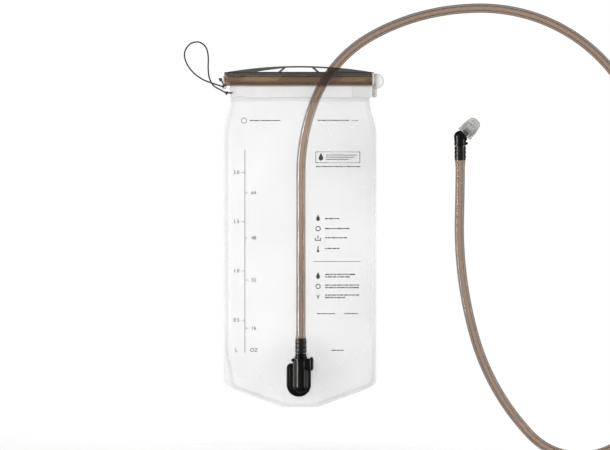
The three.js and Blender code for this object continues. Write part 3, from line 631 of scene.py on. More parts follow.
FILM_THICKNESS = 0.4
WELD = 5.0
NECK = 160.0
WELD_PLANE = -3.0
NECK_PLANE = (STRIP_HIGH.y + box_mm("back_closure_strip")[0].y) / 2
HALF_WIDTH = FILM_HIGH.x
NECK_HALF_WIDTH = 76.5
FOOT_HALF_WIDTH = 20.0
CORNER_HEIGHT = 23.5
SLOPE = (HALF_WIDTH - FOOT_HALF_WIDTH) / CORNER_HEIGHT
FOOT_WELD = 1.8
SLOPE_WELD = 3.2
CORNER_ROUND = 16
CORNER_DRIFT = {"left": 6.0, "right": 1.5}
DRIFT_SPAN = (-152, -112)
PAD_SPAN = (5, 28)
DIMPLE_RING = (30, 30.01)
PANEL_GAP = 0.15
FOLD_RISE = 40
FOOT_ROWS, UPPER_ROWS, MIDDLE_COLUMNS = 44, 150, 54


def bag_side(z):
    return lerp(HALF_WIDTH, NECK_HALF_WIDTH, smoothstep(z, 121, NECK))


def sloping_side(z):
    return FOOT_HALF_WIDTH + (z - FILM_LOW.z) * SLOPE


def bag_half_width(z):
    return smooth_min(sloping_side(z), bag_side(z), CORNER_ROUND)


def weld_reach(z):
    return max(bag_half_width(z) - WELD, 0.5)


def weld_depth(x, z):
    """How far a place is inside the weld's inner line, which leaves the edge in the lower corners."""
    drift = CORNER_DRIFT["right" if x > 0 else "left"] * (1 - smoothstep(z, *DRIFT_SPAN))
    side = bag_side(z) - WELD * 0.62 - drift - abs(x)
    sloped = (sloping_side(z) - abs(x)) / math.hypot(1, SLOPE) - SLOPE_WELD
    return smooth_min(smooth_min(side, sloped, 5), z - FILM_LOW.z - FOOT_WELD, 2)


def weld_and_painted_shade(x, z):
    """Greyer, denser film along the weld's inner line, plus painted shade: a painted shadow under the strips,
    and painted shade up on the right, low on the right and at the foot.
    """
    weld = bump(weld_depth(x, z), 0, 1.9) * lerp(0.34, 0.2, smoothstep(z, -135, -60))
    # Painted shadow under the strips, then painted shade falling off to the right and towards the foot.
    strip_shadow = 0.42 * bump(z, STRIP_LOW.z - 2.2, 2.0)
    shade_upper_right = 0.22 * smoothstep(x, -10, 60) * smoothstep(z, 20, 110)
    shade_lower_right = 0.08 * smoothstep(x, 0, 60) * (1 - smoothstep(z, -60, 0))
    foot = 0.16 * (1 - smoothstep(z, -160, -90))
    return clamp(weld + strip_shadow + shade_upper_right + shade_lower_right + foot)


def weld_plane(z):
    return lerp(WELD_PLANE, NECK_PLANE, smoothstep(z, 95, NECK - 2))


def fullness(x, z):
    across = max(0, 1 - (x / weld_reach(z)) ** 2) ** 0.8
    low = math.sin(clamp((z - FILM_LOW.z - WELD) / 110) * math.pi / 2)
    high = math.sin(clamp((NECK - z) / 90) * math.pi / 2)
    return across * low * high * smoothstep(weld_depth(x, z), 0, 5)


def flange_distance(x, z):
    out_x = max(FLANGE_LOW.x - x, x - FLANGE_HIGH.x, 0)
    out_z = max(FLANGE_LOW.z - z, z - FLANGE_HIGH.z, 0)
    return math.hypot(out_x, out_z)


def creases(x, z):
    """Soft folds: gathers under the neck, rays from the corners and the port."""
    gather = 0.45 * bump(z, NECK - 8, 22) * math.sin(x * 0.21 + 0.6 * math.sin(z * 0.05))
    corner = math.hypot(abs(x) - HALF_WIDTH * 0.86, z - (FILM_LOW.z + CORNER_HEIGHT))
    rays = 0.3 * bump(corner, 26, 22) * math.sin(9 * math.atan2(z - FILM_LOW.z - 20, abs(x) - 70))
    around = math.atan2(z - FLANGE_LOW.z - 18, x - PORT.x)
    port_rays = 0.28 * bump(flange_distance(x, z), 12, 9) * math.sin(11 * around + 1.3)
    slack = noise.noise(Vector((x * 0.018, 0.7, z * 0.012))) * 0.9
    pucker = 0.5 * bump(x, NECK_HALF_WIDTH - 6, 6) * math.sin((z - NECK) * 0.5) * bump(z, NECK - 2, 14)
    return gather + rays + port_rays + slack + pucker


def dimpled(x, z):
    """1 in a hair-thin ring round the flange, where the front panel has a few dimples, and 0 elsewhere."""
    near, far = DIMPLE_RING
    return 1 - smoothstep(near, flange_distance(x, z), far)


def front_outer(x, z):
    """The front panel's outside: flat on the flange, dimpled in a ring round it, grooved along the weld."""
    full = fullness(x, z)
    y = lerp(weld_plane(z) - PANEL_GAP - FILM_THICKNESS, FILM_LOW.y, full)
    y += creases(x, z) * clamp(full * 3.5) * dimpled(x, z)
    y = lerp(y, FLANGE_HIGH.y + PANEL_GAP, 1 - smoothstep(flange_distance(x, z), *PAD_SPAN))
    groove = 0.25 * bump(weld_depth(x, z), 0, 1.6) * clamp((NECK - z) / 4)
    return max(y - groove, FILM_LOW.y - 0.6)


def back_outer(x, z):
    """The back panel's outside: flat where it lies, with mirrored, raised folds in front of that."""
    full = fullness(x, z)
    y = lerp(weld_plane(z) + PANEL_GAP + FILM_THICKNESS, 0, smoothstep(full, 0, 0.45))
    return min(y + 0.25 * creases(-x, z + FOLD_RISE) * clamp(full * 3.5) - 0.12, 0)


def film_sheet(outer, inward):
    """One welded panel: outer(x, z) is its outside, inward the Y direction of its inside."""
    foot_top = FILM_LOW.z + 40
    heights = evenly(FILM_LOW.z, foot_top, FOOT_ROWS) + evenly(foot_top, FILM_HIGH.z, UPPER_ROWS)[1:]
    vertices = []
    for layer in (0, inward * FILM_THICKNESS):
        for z in heights:
            edge = bag_half_width(z)
            reach = clamp(weld_reach(z), edge * 0.5, edge - 3)
            half = evenly(edge, reach + 1.5, 4) + evenly(reach + 1.5, reach - 1.5, 6)[1:]
            half += evenly(reach - 1.5, reach - 8, 8)[1:-1]
            columns = [-x for x in half] + evenly(8 - reach, reach - 8, MIDDLE_COLUMNS) + half[::-1]
            vertices += [(x, outer(x, z) + layer, z) for x in columns]
    sheet = make_object(vertices, slab_faces(len(heights), len(columns)), FILM, 60)
    places = [vertex.co / MM for vertex in sheet.data.vertices]
    # Weld line plus painted shade and painted shadow, kept per point for the film's material.
    grey_share = sheet.data.attributes.new("weld_and_painted_shade", "FLOAT", "POINT")
    grey_share.data.foreach_set("value", [weld_and_painted_shade(place.x, place.z) for place in places])
    return sheet


def bag():
    placed("front_film", [film_sheet(front_outer, 1)], "bag", "bag_film", "front_panel")
    placed("back_film", [film_sheet(back_outer, -1)], "bag", "bag_film", "back_panel")


# ---- the print on the front


INK_HEIGHT = 0.06
INK_GAP = 0.05
LONGEST_STEP = 3
SCALE_X = -60.5
SCALE_ENDS = (-118.0, 104.5)
LITRE_MARKS = (("0.5", -82.5), ("1.0", -28.4), ("1.5", 25.7), ("2.0", 79.8))
OUNCE_MARKS = (("16", -91.3), ("32", -38.5), ("48", 7.7), ("64", 57.2))
TICK = 3.6


def on_film(x, z, lift=0.0):
    return Vector((x, front_outer(x, z) - INK_GAP - lift, z))


def print_strip(start, end, width):
    """A straight printed line from start to end, laid on the film."""
    start, end = Vector(start), Vector(end)
    steps = max(1, math.ceil((end - start).length / LONGEST_STEP))
    side = (end - start).normalized().orthogonal() * width / 2
    vertices = []
    for lift in (0, INK_HEIGHT):
        for t in evenly(0, 1, steps):
            middle = start.lerp(end, t)
            vertices += [on_film(*(middle - side), lift), on_film(*(middle + side), lift)]
    return make_object(vertices, slab_faces(steps + 1, 2), INK)


def print_outline(centre, outline, hole=()):
    """A small printed shape with a boundary and, if given, a matching inner boundary."""
    n = len(outline)
    points = [Vector(centre) + Vector(point) for point in [*outline, *hole]]
    vertices = [on_film(p.x, p.y, lift) for lift in (0, INK_HEIGHT) for p in points]
    shift = len(points)
    faces = wall_faces(list(range(n)), shift)
    for layer in (0, shift):
        rim = list(range(layer, layer + n))
        faces += wall_faces(rim, n) if hole else [rim]
    if hole:
        faces += wall_faces(list(range(n, 2 * n)), shift)
    return make_object(vertices, faces, INK)


def circle(radius):
    return arc((0, 0), radius, 0, 360, 28)[:-1]


def print_dot(centre, radius):
    return print_outline(centre, circle(radius))


def print_ring(centre, radius, width):
    return print_outline(centre, circle(radius), circle(radius - width))


def print_frame(centre, half_width, half_height, width):
    corners = ((-1, -1), (1, -1), (1, 1), (-1, 1))
    outer = [(half_width * a, half_height * b) for a, b in corners]
    inner = [((half_width - width) * a, (half_height - width) * b) for a, b in corners]
    return print_outline(centre, outer, inner)


def print_droplet(centre, size):
    outline = []
    for x, y in circle(size):
        point = max(0, y / size)
        outline.append((x * (1 - 0.55 * point ** 1.5) * 0.8, y + 0.7 * size * point ** 3))
    return print_outline(centre, outline)


def print_text(text, x, z, size=5.6):
    curve = bpy.data.curves.new("label", "FONT")
    curve.body = text
    curve.size = size
    curve.align_x = "CENTER"
    curve.align_y = "CENTER"
    curve.extrude = INK_HEIGHT / 2
    curve.resolution_u = 3
    mesh = curve_mesh(curve)
    for vertex in mesh.vertices:
        place = on_film(x + vertex.co.x, z + vertex.co.y, INK_HEIGHT / 2 + vertex.co.z)
        vertex.co = place * MM
    return finish_mesh(mesh, INK)


def volume_scale():
    """The litre scale on the left of a line and the fluid-ounce scale on its right."""
    marks = [print_strip((SCALE_X, SCALE_ENDS[0]), (SCALE_X, SCALE_ENDS[1]), 0.55)]
    for table, text_x, tick in ((LITRE_MARKS, -9.4, -TICK), (OUNCE_MARKS, 9.6, TICK)):
        for label, z in table:
            marks.append(print_text(label, SCALE_X + text_x, z))
            marks.append(print_strip((SCALE_X, z), (SCALE_X + tick, z), 0.5))
    return marks + [print_text("L", SCALE_X - 9.4, -115.5), print_text("OZ", SCALE_X + 9.8, -115.5, 5.8)]


def small_print(left, right, z, height=1.05):
    """Word-length dashes with narrow gaps, standing for a line of small print."""
    gap = 1.0
    shortest = 1.6
    marks = []
    start = left
    while start < right:
        end = start + 3.4 + 1.7 * math.sin(2.1 * len(marks) + left + z)
        if right - end < gap + shortest:
            end = right
        marks.append(print_strip((start, z), (end, z), height))
        start = end + gap
    return marks


def emblem(centre_x, z):
    """A plain frame with a droplet and three level lines in it."""
    marks = [print_frame((centre_x, z), 24.5, 6.2, 0.6), print_droplet((centre_x - 18.5, z - 0.6), 3.1)]
    left = centre_x - 13
    for row, length in ((2.4, 34), (0, 31), (-2.4, 25)):
        marks.append(print_strip((left, z + row), (left + length, z + row), 0.7))
    return marks


def pictograms(x):
    """A column of plain signs: drop, ring, hand-wash tub, exclamation mark, drop, ring and funnel."""
    tub = [((-3.2, 5.2), (3.2, 5.2), 0.9), ((-2.9, 5.2), (-2.9, 8.2), 0.8), ((2.9, 5.2), (2.9, 8.2), 0.8),
           ((0, 6.8), (0, 10.4), 0.9)]
    stroke = ((0, -6.4), (0, -0.8), 1.0)
    funnel = [(-2.8, 2.4), (0, 0.4), (2.8, 2.4), (0.5, -0.6), (0.5, -3), (-0.5, -3), (-0.5, -0.6)]
    marks = [print_droplet((x, 29), 2.6), print_ring((x, 18.1), 2.9, 0.9), print_dot((x, -6.6), 1.3),
             print_droplet((x, -34.4), 2.7), print_ring((x, -45.3), 2.8, 0.9),
             print_outline((x, -56.3), funnel)]
    for (left, low), (right, high), width in tub + [stroke]:
        marks.append(print_strip((x + left, low), (x + right, high), width))
    return marks


def generic_marks():
    """Plain pictograms and dashes where the print has symbols and small print."""
    signs_x, words_x = 19.8, 27.5
    marks = [print_ring((-61.6, 136.7), 3.1, 0.5), print_strip((14.3, -18), (66, -18), 0.5)]
    marks += emblem(41.5, 96.4) + pictograms(signs_x) + small_print(57.2, 64, 136.9, 0.7)
    for left, right, z in ((-55, -22, 136.7), (19.8, 53.5, 136.9), (17.5, 66, 86.2), (18.7, 38.5, -75.3),
                           (48.4, 63.8, -75.3), (34.6, 47.8, -115.5)):
        marks += small_print(left, right, z)
    for right, z in ((43, 29), (54, 18.1), (51.5, 8), (43, -3.7), (60.5, -32.2), (54.5, -34.9), (65, -44.0),
                     (64.5, -46.7), (65, -54.9), (49.5, -57.6)):
        marks += small_print(words_x, right, z, 1.2)
    return marks


def front_print():
    placed("volume_scale", volume_scale(), "bag", "black_plastic")
    placed("care_marks", generic_marks(), "bag", "black_plastic")


# ---- the closure


BEAD_RADIUS = 3.4
BEAD_Z = 182.0
SKIRT_LEFT, CENTRE_LEFT, CENTRE_RIGHT = -77.0, -59.5, 57.2
JOINT_GAP = 0.05
SLIDER_LEFT = -83.0
SLIDER_BOTTOM = 175.0
SLIDER_TOP = 189.5
WALL = 1.5
SLOT_HALF = 2.1
# Where the slider's walls carry a painted highlight: two spans along X, one band in Z, and the lean of their
# ends.
HIGHLIGHT_SPANS = ((-65.0, -25.0), (44.0, 72.0))
HIGHLIGHT_BAND = (179.0, 186.3)
HIGHLIGHT_LEAN = 1.1


def strip_section(side, skirt_bottom, proud):
    """One strip's outline in Y and Z; side is -1 in front of the middle plane and +1 behind it."""
    inner, outer = 1.05, 2.05 + proud
    web_inner, web_outer = 0.2, 1.4
    points = rounded([
        (inner, skirt_bottom),
        (outer, skirt_bottom, 0.45),
        (outer, SLIDER_BOTTOM - 0.9, 0.6),
        (web_outer, SLIDER_BOTTOM - 0.1),
        (web_outer, BEAD_Z - BEAD_RADIUS + 0.2),
    ])
    points += arc((web_inner, BEAD_Z), BEAD_RADIUS, -70, 90, 14)
    points += [(web_inner, FILM_HIGH.z + 0.3), (inner, FILM_HIGH.z + 0.3)]
    return [(NECK_PLANE + side * offset, z) for offset, z in points]


def closure_strips():
    """Each strip has a thicker ribbed middle between two plain ends, and runs on to the left as a bead."""
    spans = (
        (SKIRT_LEFT, CENTRE_LEFT, 0.0, 0.8, MILKY),
        (CENTRE_LEFT + JOINT_GAP, CENTRE_RIGHT, 0.35, 0.0, MILKY),
        (CENTRE_RIGHT + JOINT_GAP, STRIP_HIGH.x, 0.1, 0.5, MILKY_END),
    )
    for side, panel in ((-1, "front"), (1, "back")):
        parts = []
        for left, right, proud, raise_by, look in spans:
            section = strip_section(side, STRIP_LOW.z + raise_by, proud)
            parts.append(extruded_along_x(section, left, right, look, 0.25))
        bead_only = [(y, z) for y, z in strip_section(side, SLIDER_BOTTOM, 0) if z > SLIDER_BOTTOM]
        parts.append(extruded_along_x(bead_only, STRIP_LOW.x, SKIRT_LEFT - JOINT_GAP, MILKY, 0.25))
        placed(panel + "_strip", parts, "bag", "milky_plastic", panel + "_closure_strip")


def end_stop():
    """A rounded lobe beyond the slider, on an ear that fits between the strips."""
    middle, half = 180, 8.3
    left, bottom = SLIDER_HIGH.x + 0.5, STOP_LOW.z + 0.2
    lobe = [(left, middle - half)]
    for cosine, sine in arc((0, 0), 1, -88, 88, 26):
        lobe.append((left + (STOP_HIGH.x - left) * cosine ** 0.75, middle + half * sine))
    lobe.append((left, middle + half))
    ear = rounded([(STOP_LOW.x, 177), (STOP_LOW.x, bottom, 1.6), (84.5, bottom, 2.2), (84.5, 177)])
    parts = [plate([lobe], STOP_LOW.y, STOP_HIGH.y, 2.4, STOP, steps=4),
             plate([ear], NECK_PLANE - 1.2, NECK_PLANE + 1.2, 0.5, STOP)]
    placed("end_stop", parts, "bag", "milky_plastic", "closure_end_stop")


def channel_section(proud, wall, slot_half, outer_radii, inner_radii, steps, inner_steps):
    """A C open below, its outside proud of the slider's channel and its inside wall within that channel.

    outer_radii are for the slot's lips, the foot and the roof, inner_radii for the foot and the roof."""
    front, back, bottom, top = SLIDER_LOW.y, SLIDER_HIGH.y, SLIDER_BOTTOM, SLIDER_TOP
    slot_front, slot_back = NECK_PLANE - slot_half, NECK_PLANE + slot_half
    lip, foot, roof = outer_radii
    inner_foot, inner_roof = inner_radii
    outer = [
        (slot_front, bottom + wall),
        (slot_front, bottom - proud, lip),
        (front - proud, bottom - proud, foot),
        (front - proud, top + proud, roof),
        (back + proud, top + proud, roof),
        (back + proud, bottom - proud, foot),
        (slot_back, bottom - proud, lip),
        (slot_back, bottom + wall),
    ]
    inner = [
        outer[-1],
        (back - wall, bottom + wall, inner_foot),
        (back - wall, top - wall, inner_roof),
        (front + wall, top - wall, inner_roof),
        (front + wall, bottom + wall, inner_foot),
        outer[0],
    ]
    return rounded(outer, steps) + rounded(inner, inner_steps)[1:-1]


def handle_top(x):
    """The handle's upper edge, an arc over the slider's whole length."""
    chord = SLIDER_HIGH.x - SLIDER_LEFT
    sagitta = SLIDER_HIGH.z - SLIDER_TOP
    radius = chord * chord / (8 * sagitta) + sagitta / 2
    middle = (SLIDER_HIGH.x + SLIDER_LEFT) / 2
    return SLIDER_HIGH.z - radius + math.sqrt(radius ** 2 - (x - middle) ** 2)


def handle_window(left, right, lean_left, lean_right, bar=1.7, tapered=False):
    """A window under the bar, whose left end is cut slanting or, if tapered, narrows to nothing."""
    sill = SLIDER_TOP + 0.7
    corners = [(left - lean_left, sill, 0.5), (right - lean_right, sill, 0.5)]
    left_bar = handle_top(left) - sill - 0.3 if tapered else bar
    for x in evenly(right, left, 10):
        corners.append((x, handle_top(x) - lerp(left_bar, bar, (x - left) / (right - left)), 0.5))
    return rounded(corners[:1] + corners + corners[:1], 3)[1:-1]


def block_section(front, back, bottom, top, radius):
    middle = (front, (bottom + top) / 2)
    corners = [(front, bottom, radius), (back, bottom, radius), (back, top, radius), (front, top, radius)]
    return rounded([middle] + corners + [middle], 4)[:-1]


def cut_at_levels(section, levels):
    """Adds a point to a (y, z) outline wherever it crosses one of the levels."""
    result = []
    for (y, z), (next_y, next_z) in zip(section, section[1:] + section[:1]):
        result.append((y, z))
        crossed = [level for level in levels if min(z, next_z) < level < max(z, next_z)]
        for level in sorted(crossed, reverse=next_z < z):
            result.append((lerp(y, next_y, (level - z) / (next_z - z)), level))
    return result


def channel_body():
    """The C-section, whose walls have two spans of painted highlight with leaning ends: a paler tint that
    stands in for light reflected off the walls.
    """
    section = channel_section(0, WALL, SLOT_HALF, (0.4, 1.3, 3.4), (0.5, 2.0), 6, 5)
    section = cut_at_levels(section, HIGHLIGHT_BAND)
    leaning = [(x, HIGHLIGHT_LEAN) for span in HIGHLIGHT_SPANS for x in span]
    body = extruded_along_x(section, SLIDER_LEFT, SLIDER_HIGH.x, SMOKE, 0.3, leaning)
    body.data.materials.append(SMOKE_PAINTED_HIGHLIGHT)
    middle = sum(z for _, z in section) / len(section)
    for face in body.data.polygons:
        x, _, z = face.center / MM
        upright = x - HIGHLIGHT_LEAN * (z - middle)
        in_span = any(low < upright < high for low, high in HIGHLIGHT_SPANS)
        if in_span and HIGHLIGHT_BAND[0] < z < HIGHLIGHT_BAND[1]:
            face.material_index = 1
    return body


def channel_inside():
    """A block under the roof and a rail either side of the slot."""
    front, back = SLIDER_LOW.y, SLIDER_HIGH.y
    left, right = SLIDER_LEFT + 2.2, SLIDER_HIGH.x - 2.2
    roof = block_section(front + 0.6, back - 0.6, BEAD_Z + BEAD_RADIUS + 0.2, SLIDER_TOP - 0.5, 1.2)
    parts = [extruded_along_x(roof, left, right, SMOKE_DEEP)]
    inset = WALL + 0.1
    for low, high in ((front + inset, NECK_PLANE - SLOT_HALF), (NECK_PLANE + SLOT_HALF, back - inset)):
        rail = block_section(low, high, SLIDER_BOTTOM + inset, BEAD_Z - BEAD_RADIUS, 0.3)
        parts.append(extruded_along_x(rail, left, right, SMOKE_RAIL, 0.2))
    return parts


def end_bands():
    """A thin raised band round each end of the channel, each tinted pale as a painted highlight on its rim.
    """
    band = channel_section(0.3, 0.4, SLOT_HALF + 0.5, (0.2, 1.4, 3.5), (1.0, 3.0), 5, 5)
    spans = ((SLIDER_LEFT + 0.1, SLIDER_LEFT + 1.3, SMOKE_PAINTED_HIGHLIGHT),
             (SLIDER_HIGH.x - 1.5, SLIDER_HIGH.x - 0.1, SMOKE_RIM_HIGHLIGHT))
    return [extruded_along_x(band, left, right, look, 0.15) for left, right, look in spans]


def handle():
    """An arched web on the channel, with three windows between leaning struts."""
    strut = 3.4
    half = 1.6
    left, right, bottom = SLIDER_LEFT + 0.4, SLIDER_HIGH.x - 0.4, SLIDER_TOP - 0.4
    outline = [(left, bottom), (right, bottom)] + [(x, handle_top(x)) for x in evenly(right, left, 40)]
    windows = [
        handle_window(-46.5, -19, 1.5, 5, 2.1, tapered=True),
        handle_window(-19 + strut, 13, 5, -5),
        handle_window(13 + strut, 30, -5, 0),
    ]
    return plate([outline] + windows, NECK_PLANE - half, NECK_PLANE + half, 0.45, SMOKE_WEB)


def eyelet():
    place = Matrix.Translation((-83.2, SLIDER_LOW.y + 1.2, 173.8)) @ Matrix.Rotation(math.pi / 2, 4, "X")
    ring = [(2.1, -1.2), (2.7, -1.2, 0.4), (2.7, 1.2, 0.4), (1.3, 1.2, 0.4), (1.3, -1.2, 0.4)]
    return turned_ring(ring, 4, SMOKE, 32, place)


def slider():
    parts = [channel_body(), *channel_inside(), *end_bands(), handle(), eyelet()]
    placed("slider_body", parts, "slider", "smoke_plastic", "slider")


# ---- the cord


CORD_RADIUS = 0.8
SPAN_STEPS = 10
SECOND_KNOT = 18


def catmull(points):
    """A smooth path through points, with the same number of steps between any two."""
    result = []
    padded = [points[0] * 2 - points[1]] + points + [points[-1] * 2 - points[-2]]
    for i in range(1, len(padded) - 2):
        p0, p1, p2, p3 = padded[i - 1:i + 3]
        for t in evenly(0, 1, SPAN_STEPS)[:-1]:
            result.append(0.5 * ((2 * p1) + (p2 - p0) * t + (2 * p0 - 5 * p1 + 4 * p2 - p3) * t * t
                                 + (3 * p1 - p0 - 3 * p2 + p3) * t ** 3))
    return result + [points[-1]]


def cord_path():
    """From the stopper knot over the eyelet, round the loose loop, to the knot by the strips' hole."""
    front = SLIDER_LOW.y - 1.4
    return catmull([Vector(place) for place in (
        (-87.2, front, 181.5), (-85.1, front - 0.4, 178.8), (-83.5, front + 0.6, 174.6),
        (-84.0, front + 4.8, 173.7), (-89.4, -7.4, 175.4), (-98.3, -7, 178.4), (-106.7, -7, 181.8),
        (-116.8, -7, 189), (-124.4, -7, 199.5), (-126.8, -7.5, 210.5), (-121.5, -8, 220), (-112, -9, 222.9),
        (-104, -10, 218), (-100.8, -10, 208), (-100.7, -10, 192.7), (-99.3, -10, 183), (-94.9, -11, 175),
        (-86, -12.4, 169.6), (-80.6, front, 166.9), (-77.4, -11.6, 167), (-74.8, -9.2, 167), (-74.8, -4, 167),
        (-74.8, -2.2, 167),
    )])


def knot(centre):
    """A small overhand knot: a trefoil of the same cord, pulled tight."""
    points = []
    for t in evenly(0, 2 * math.pi, 48):
        x, z = math.sin(t) + 1.6 * math.sin(2 * t), math.cos(t) - 1.6 * math.cos(2 * t)
        points.append(centre + 1.5 * Vector((x, -0.9 * math.sin(3 * t), z)) / 2.6)
    return rod(points, CORD_RADIUS * 0.92, CORD)


def tether():
    path = cord_path()
    second = path[SECOND_KNOT * SPAN_STEPS]
    parts = [rod(path, CORD_RADIUS, CORD)] + [knot(centre) for centre in (path[0], second, path[-1])]
    cord = blended("tether", parts, ["tether_cord"], path[0], second)
    follow_arc_length(cord, path)


def follow_arc_length(cord, path):
    """Finds each vertex's distance along the cord's path; the distances are not used."""
    lengths = [0.0]
    for a, b in zip(path, path[1:]):
        lengths.append(lengths[-1] + (b - a).length)
    tree = nearest_in(path)
    along = [lengths[tree.find(vertex.co)[1]] for vertex in cord.data.vertices]


# ---- the port


DOME_RADIUS = 7.2
DOME_CENTRE = -30.8
ROOM = Vector((0.25, 0.25, 0.25))


def flange_outline(inset):
    """The flange's outline in the port's frame: round below, with two rounded corners above."""
    left, right = FLANGE_LOW.x - PORT.x + inset, FLANGE_HIGH.x - PORT.x - inset
    top, bottom = FLANGE_HIGH.z - PORT.z - inset, FLANGE_LOW.z - PORT.z + inset
    radius, middle = (right - left) / 2, (left + right) / 2
    corner = max(5.2 - inset, 1.0)
    outline = arc((middle, bottom + radius), radius, 180, 360, 28)
    outline += arc((right - corner, top - corner), corner, 0, 90, 8)
    return outline + arc((left + corner, top - corner), corner, 90, 180, 8)


def port_flange():
    """A weld flange with two closed ridges standing on it, one inside the other."""
    back, front = FLANGE_HIGH.y - PORT.y, FLANGE_LOW.y - PORT.y
    parts = [plate([flange_outline(0)], front + 0.5, back, 0.45, BLACK, PORT_PLACE)]
    for inset in (0.9, 3.2):
        ridge = [flange_outline(inset), flange_outline(inset + 1.4)]
        parts.append(plate(ridge, front + 0.05, back - 0.6, 0.6, BLACK, PORT_PLACE))
    placed("weld_flange", parts, "bag", "black_plastic", "port_flange")


def dome_profile():
    """From the flange up the wall and over to the middle: (distance from the middle, y)."""
    back = HOUSING_HIGH.y - PORT.y
    profile = rounded([(DOME_RADIUS + 1.5, back), (DOME_RADIUS + 1.5, back - 1.0, 0.5),
                       (DOME_RADIUS + 0.1, back - 1.6, 0.8), (DOME_RADIUS, 0)], 5)
    for angle in evenly(0, 90, 18)[1:]:
        radius = DOME_RADIUS + 0.5 * bump(angle, 27, 5)
        profile.append((radius * math.cos(math.radians(angle)), -radius * math.sin(math.radians(angle))))
    return profile


def port_barrel():
    """A half-round barrel on a foot, whose lower end is a dome."""
    profile = dome_profile()
    heights = evenly(0, DOME_CENTRE, 16)
    stations = [(-1, 0, z) for z in heights]
    stations += [(across, down, DOME_CENTRE) for across, down in arc((0, 0), 1, 180, 360, 32)[1:-1]]
    stations += [(1, 0, z) for z in reversed(heights)]
    vertices = []
    for across, down, z in stations:
        vertices += [PORT + Vector((distance * across, y, z + distance * down)) for distance, y in profile]
    columns = len(profile)
    last = len(vertices) - columns
    faces = grid_faces(len(stations), columns)
    faces.append([*range(columns), *range(last + columns - 2, last - 1, -1)])
    faces.append(range(0, len(vertices), columns))
    return make_object(vertices, faces, BLACK, 35)


def port_housing():
    """The barrel, with a bored mouth at the top and a boss that the button's latch slides in."""
    body = port_barrel()
    bore = [(0, -20.8), (4.5, -20.8), (4.5, -0.8), (5.2, 0.6), (0, 0.6)]
    cut_away(body, turned(bore, BLACK, 48, PORT_PLACE))
    cut_away(body, rounded_box((PORT.x + DOME_RADIUS + 0.1, BUTTON_LOW.y - 1, BUTTON_LOW.z - 0.5),
                               (BUTTON_HIGH.x, BUTTON_HIGH.y + 1, BUTTON_HIGH.z), 0.3, BLACK))
    boss_half_y = (BUTTON_HIGH.y - BUTTON_LOW.y) / 2 - 1.5
    boss = rounded_box((BUTTON_LOW.x - 6.8, PORT.y - boss_half_y, BUTTON_LOW.z + 1.5),
                       (HOUSING_HIGH.x, PORT.y + boss_half_y, PORT.z - 0.2), 1.2, BLACK)
    cut_away(boss, turned([(0, -16), (4.5, -16), (4.5, 1), (0, 1)], BLACK, 48, PORT_PLACE))
    latch_low, latch_high = box_mm("latch_plate")
    spring_low, spring_high = box_mm("button_spring")
    travel = Vector((JOINTS["button_press"]["range_m"][1] / MM, 0, 0))
    for piece in (body, boss):
        cut_away(piece, rounded_box(latch_low - ROOM - travel, latch_high + ROOM, 0.1, BLACK, 1))
        cut_away(piece, rounded_box(spring_low - ROOM, spring_high + ROOM, 0.5, BLACK))
    mouth = [(4.6, -3.2), (7.9, -3.2, 0.5), (7.9, -0.05, 0.6), (4.9, -0.05, 0.4), (4.6, -0.6)]
    ear = rounded_box(PORT + Vector((-10.4, -3.4, -3.6)), PORT + Vector((-6.6, 2.2, -0.3)), 0.9, BLACK)
    parts = [body, boss, turned_ring(mouth, 4, BLACK, 64, PORT_PLACE), ear]
    placed("housing_shell", parts, "bag", "black_plastic", "port_housing")


def release_button():
    """A rounded hollow cap with thumb ribs down its end."""
    wall = Vector((0, 1.2, 1.2))
    cap = rounded_box(BUTTON_LOW, BUTTON_HIGH - Vector((0.6, 0, 0)), 1.5, BLACK)
    hollow = BUTTON_LOW + wall - Vector((3, 0, 0)), BUTTON_HIGH - wall - Vector((1.4, 0, 0))
    cut_away(cap, rounded_box(*hollow, 0.6, BLACK))
    parts = [cap]
    middle = (BUTTON_LOW.z + BUTTON_HIGH.z) / 2
    for z in evenly(middle - 4.2, middle + 4.2, 4):
        low = (BUTTON_HIGH.x - 1.6, BUTTON_LOW.y + 2.4, z - 0.55)
        high = (BUTTON_HIGH.x, BUTTON_HIGH.y - 2.4, z + 0.55)
        parts.append(rounded_box(low, high, 0.45, BLACK, 3))
    placed("button_cap", parts, "button", "black_plastic", "release_button")


def coil(name, node, axis):
    """The spring of a CAD node along an axis, from its end on the bag to its end on the moving body."""
    low, high = box_mm(node)
    centre = (low + high) / 2
    across, aside = (axis + 1) % 3, (axis + 2) % 3
    wire = 0.3
    radius = (high[across] - low[across]) / 2 - wire
    turns = 4
    points = []
    for cosine, sine in arc((0, 0), radius, 0, 360 * turns, 16 * turns):
        point = centre.copy()
        point[axis] = lerp(low[axis] + wire, high[axis] - wire, len(points) / (16 * turns))
        point[across] += cosine
        point[aside] += sine
        points.append(point)
    start, end = centre.copy(), centre.copy()
    start[axis], end[axis] = low[axis], high[axis]
    blended(name, [rod(points, wire, STEEL)], [node], start, end)


def springs():
    coil("button_coil", "button_spring", 0)
    coil("poppet_coil", "poppet_spring", 2)


# ---- plug and tube


TOOTH_PITCH = 4.6
TEETH = 3


def barb_profile(root, direction):
    """Teeth on a stem, whose steep sides face the root."""
    core, tooth = 2.9, 3.85
    points = []
    for i in range(TEETH):
        foot = root + direction * (2 + i * TOOTH_PITCH)
        points += [(core, foot), (tooth, foot + direction * 0.25, 0.12)]
        points.append((core, foot + direction * (TOOTH_PITCH - 0.5)))
    return points


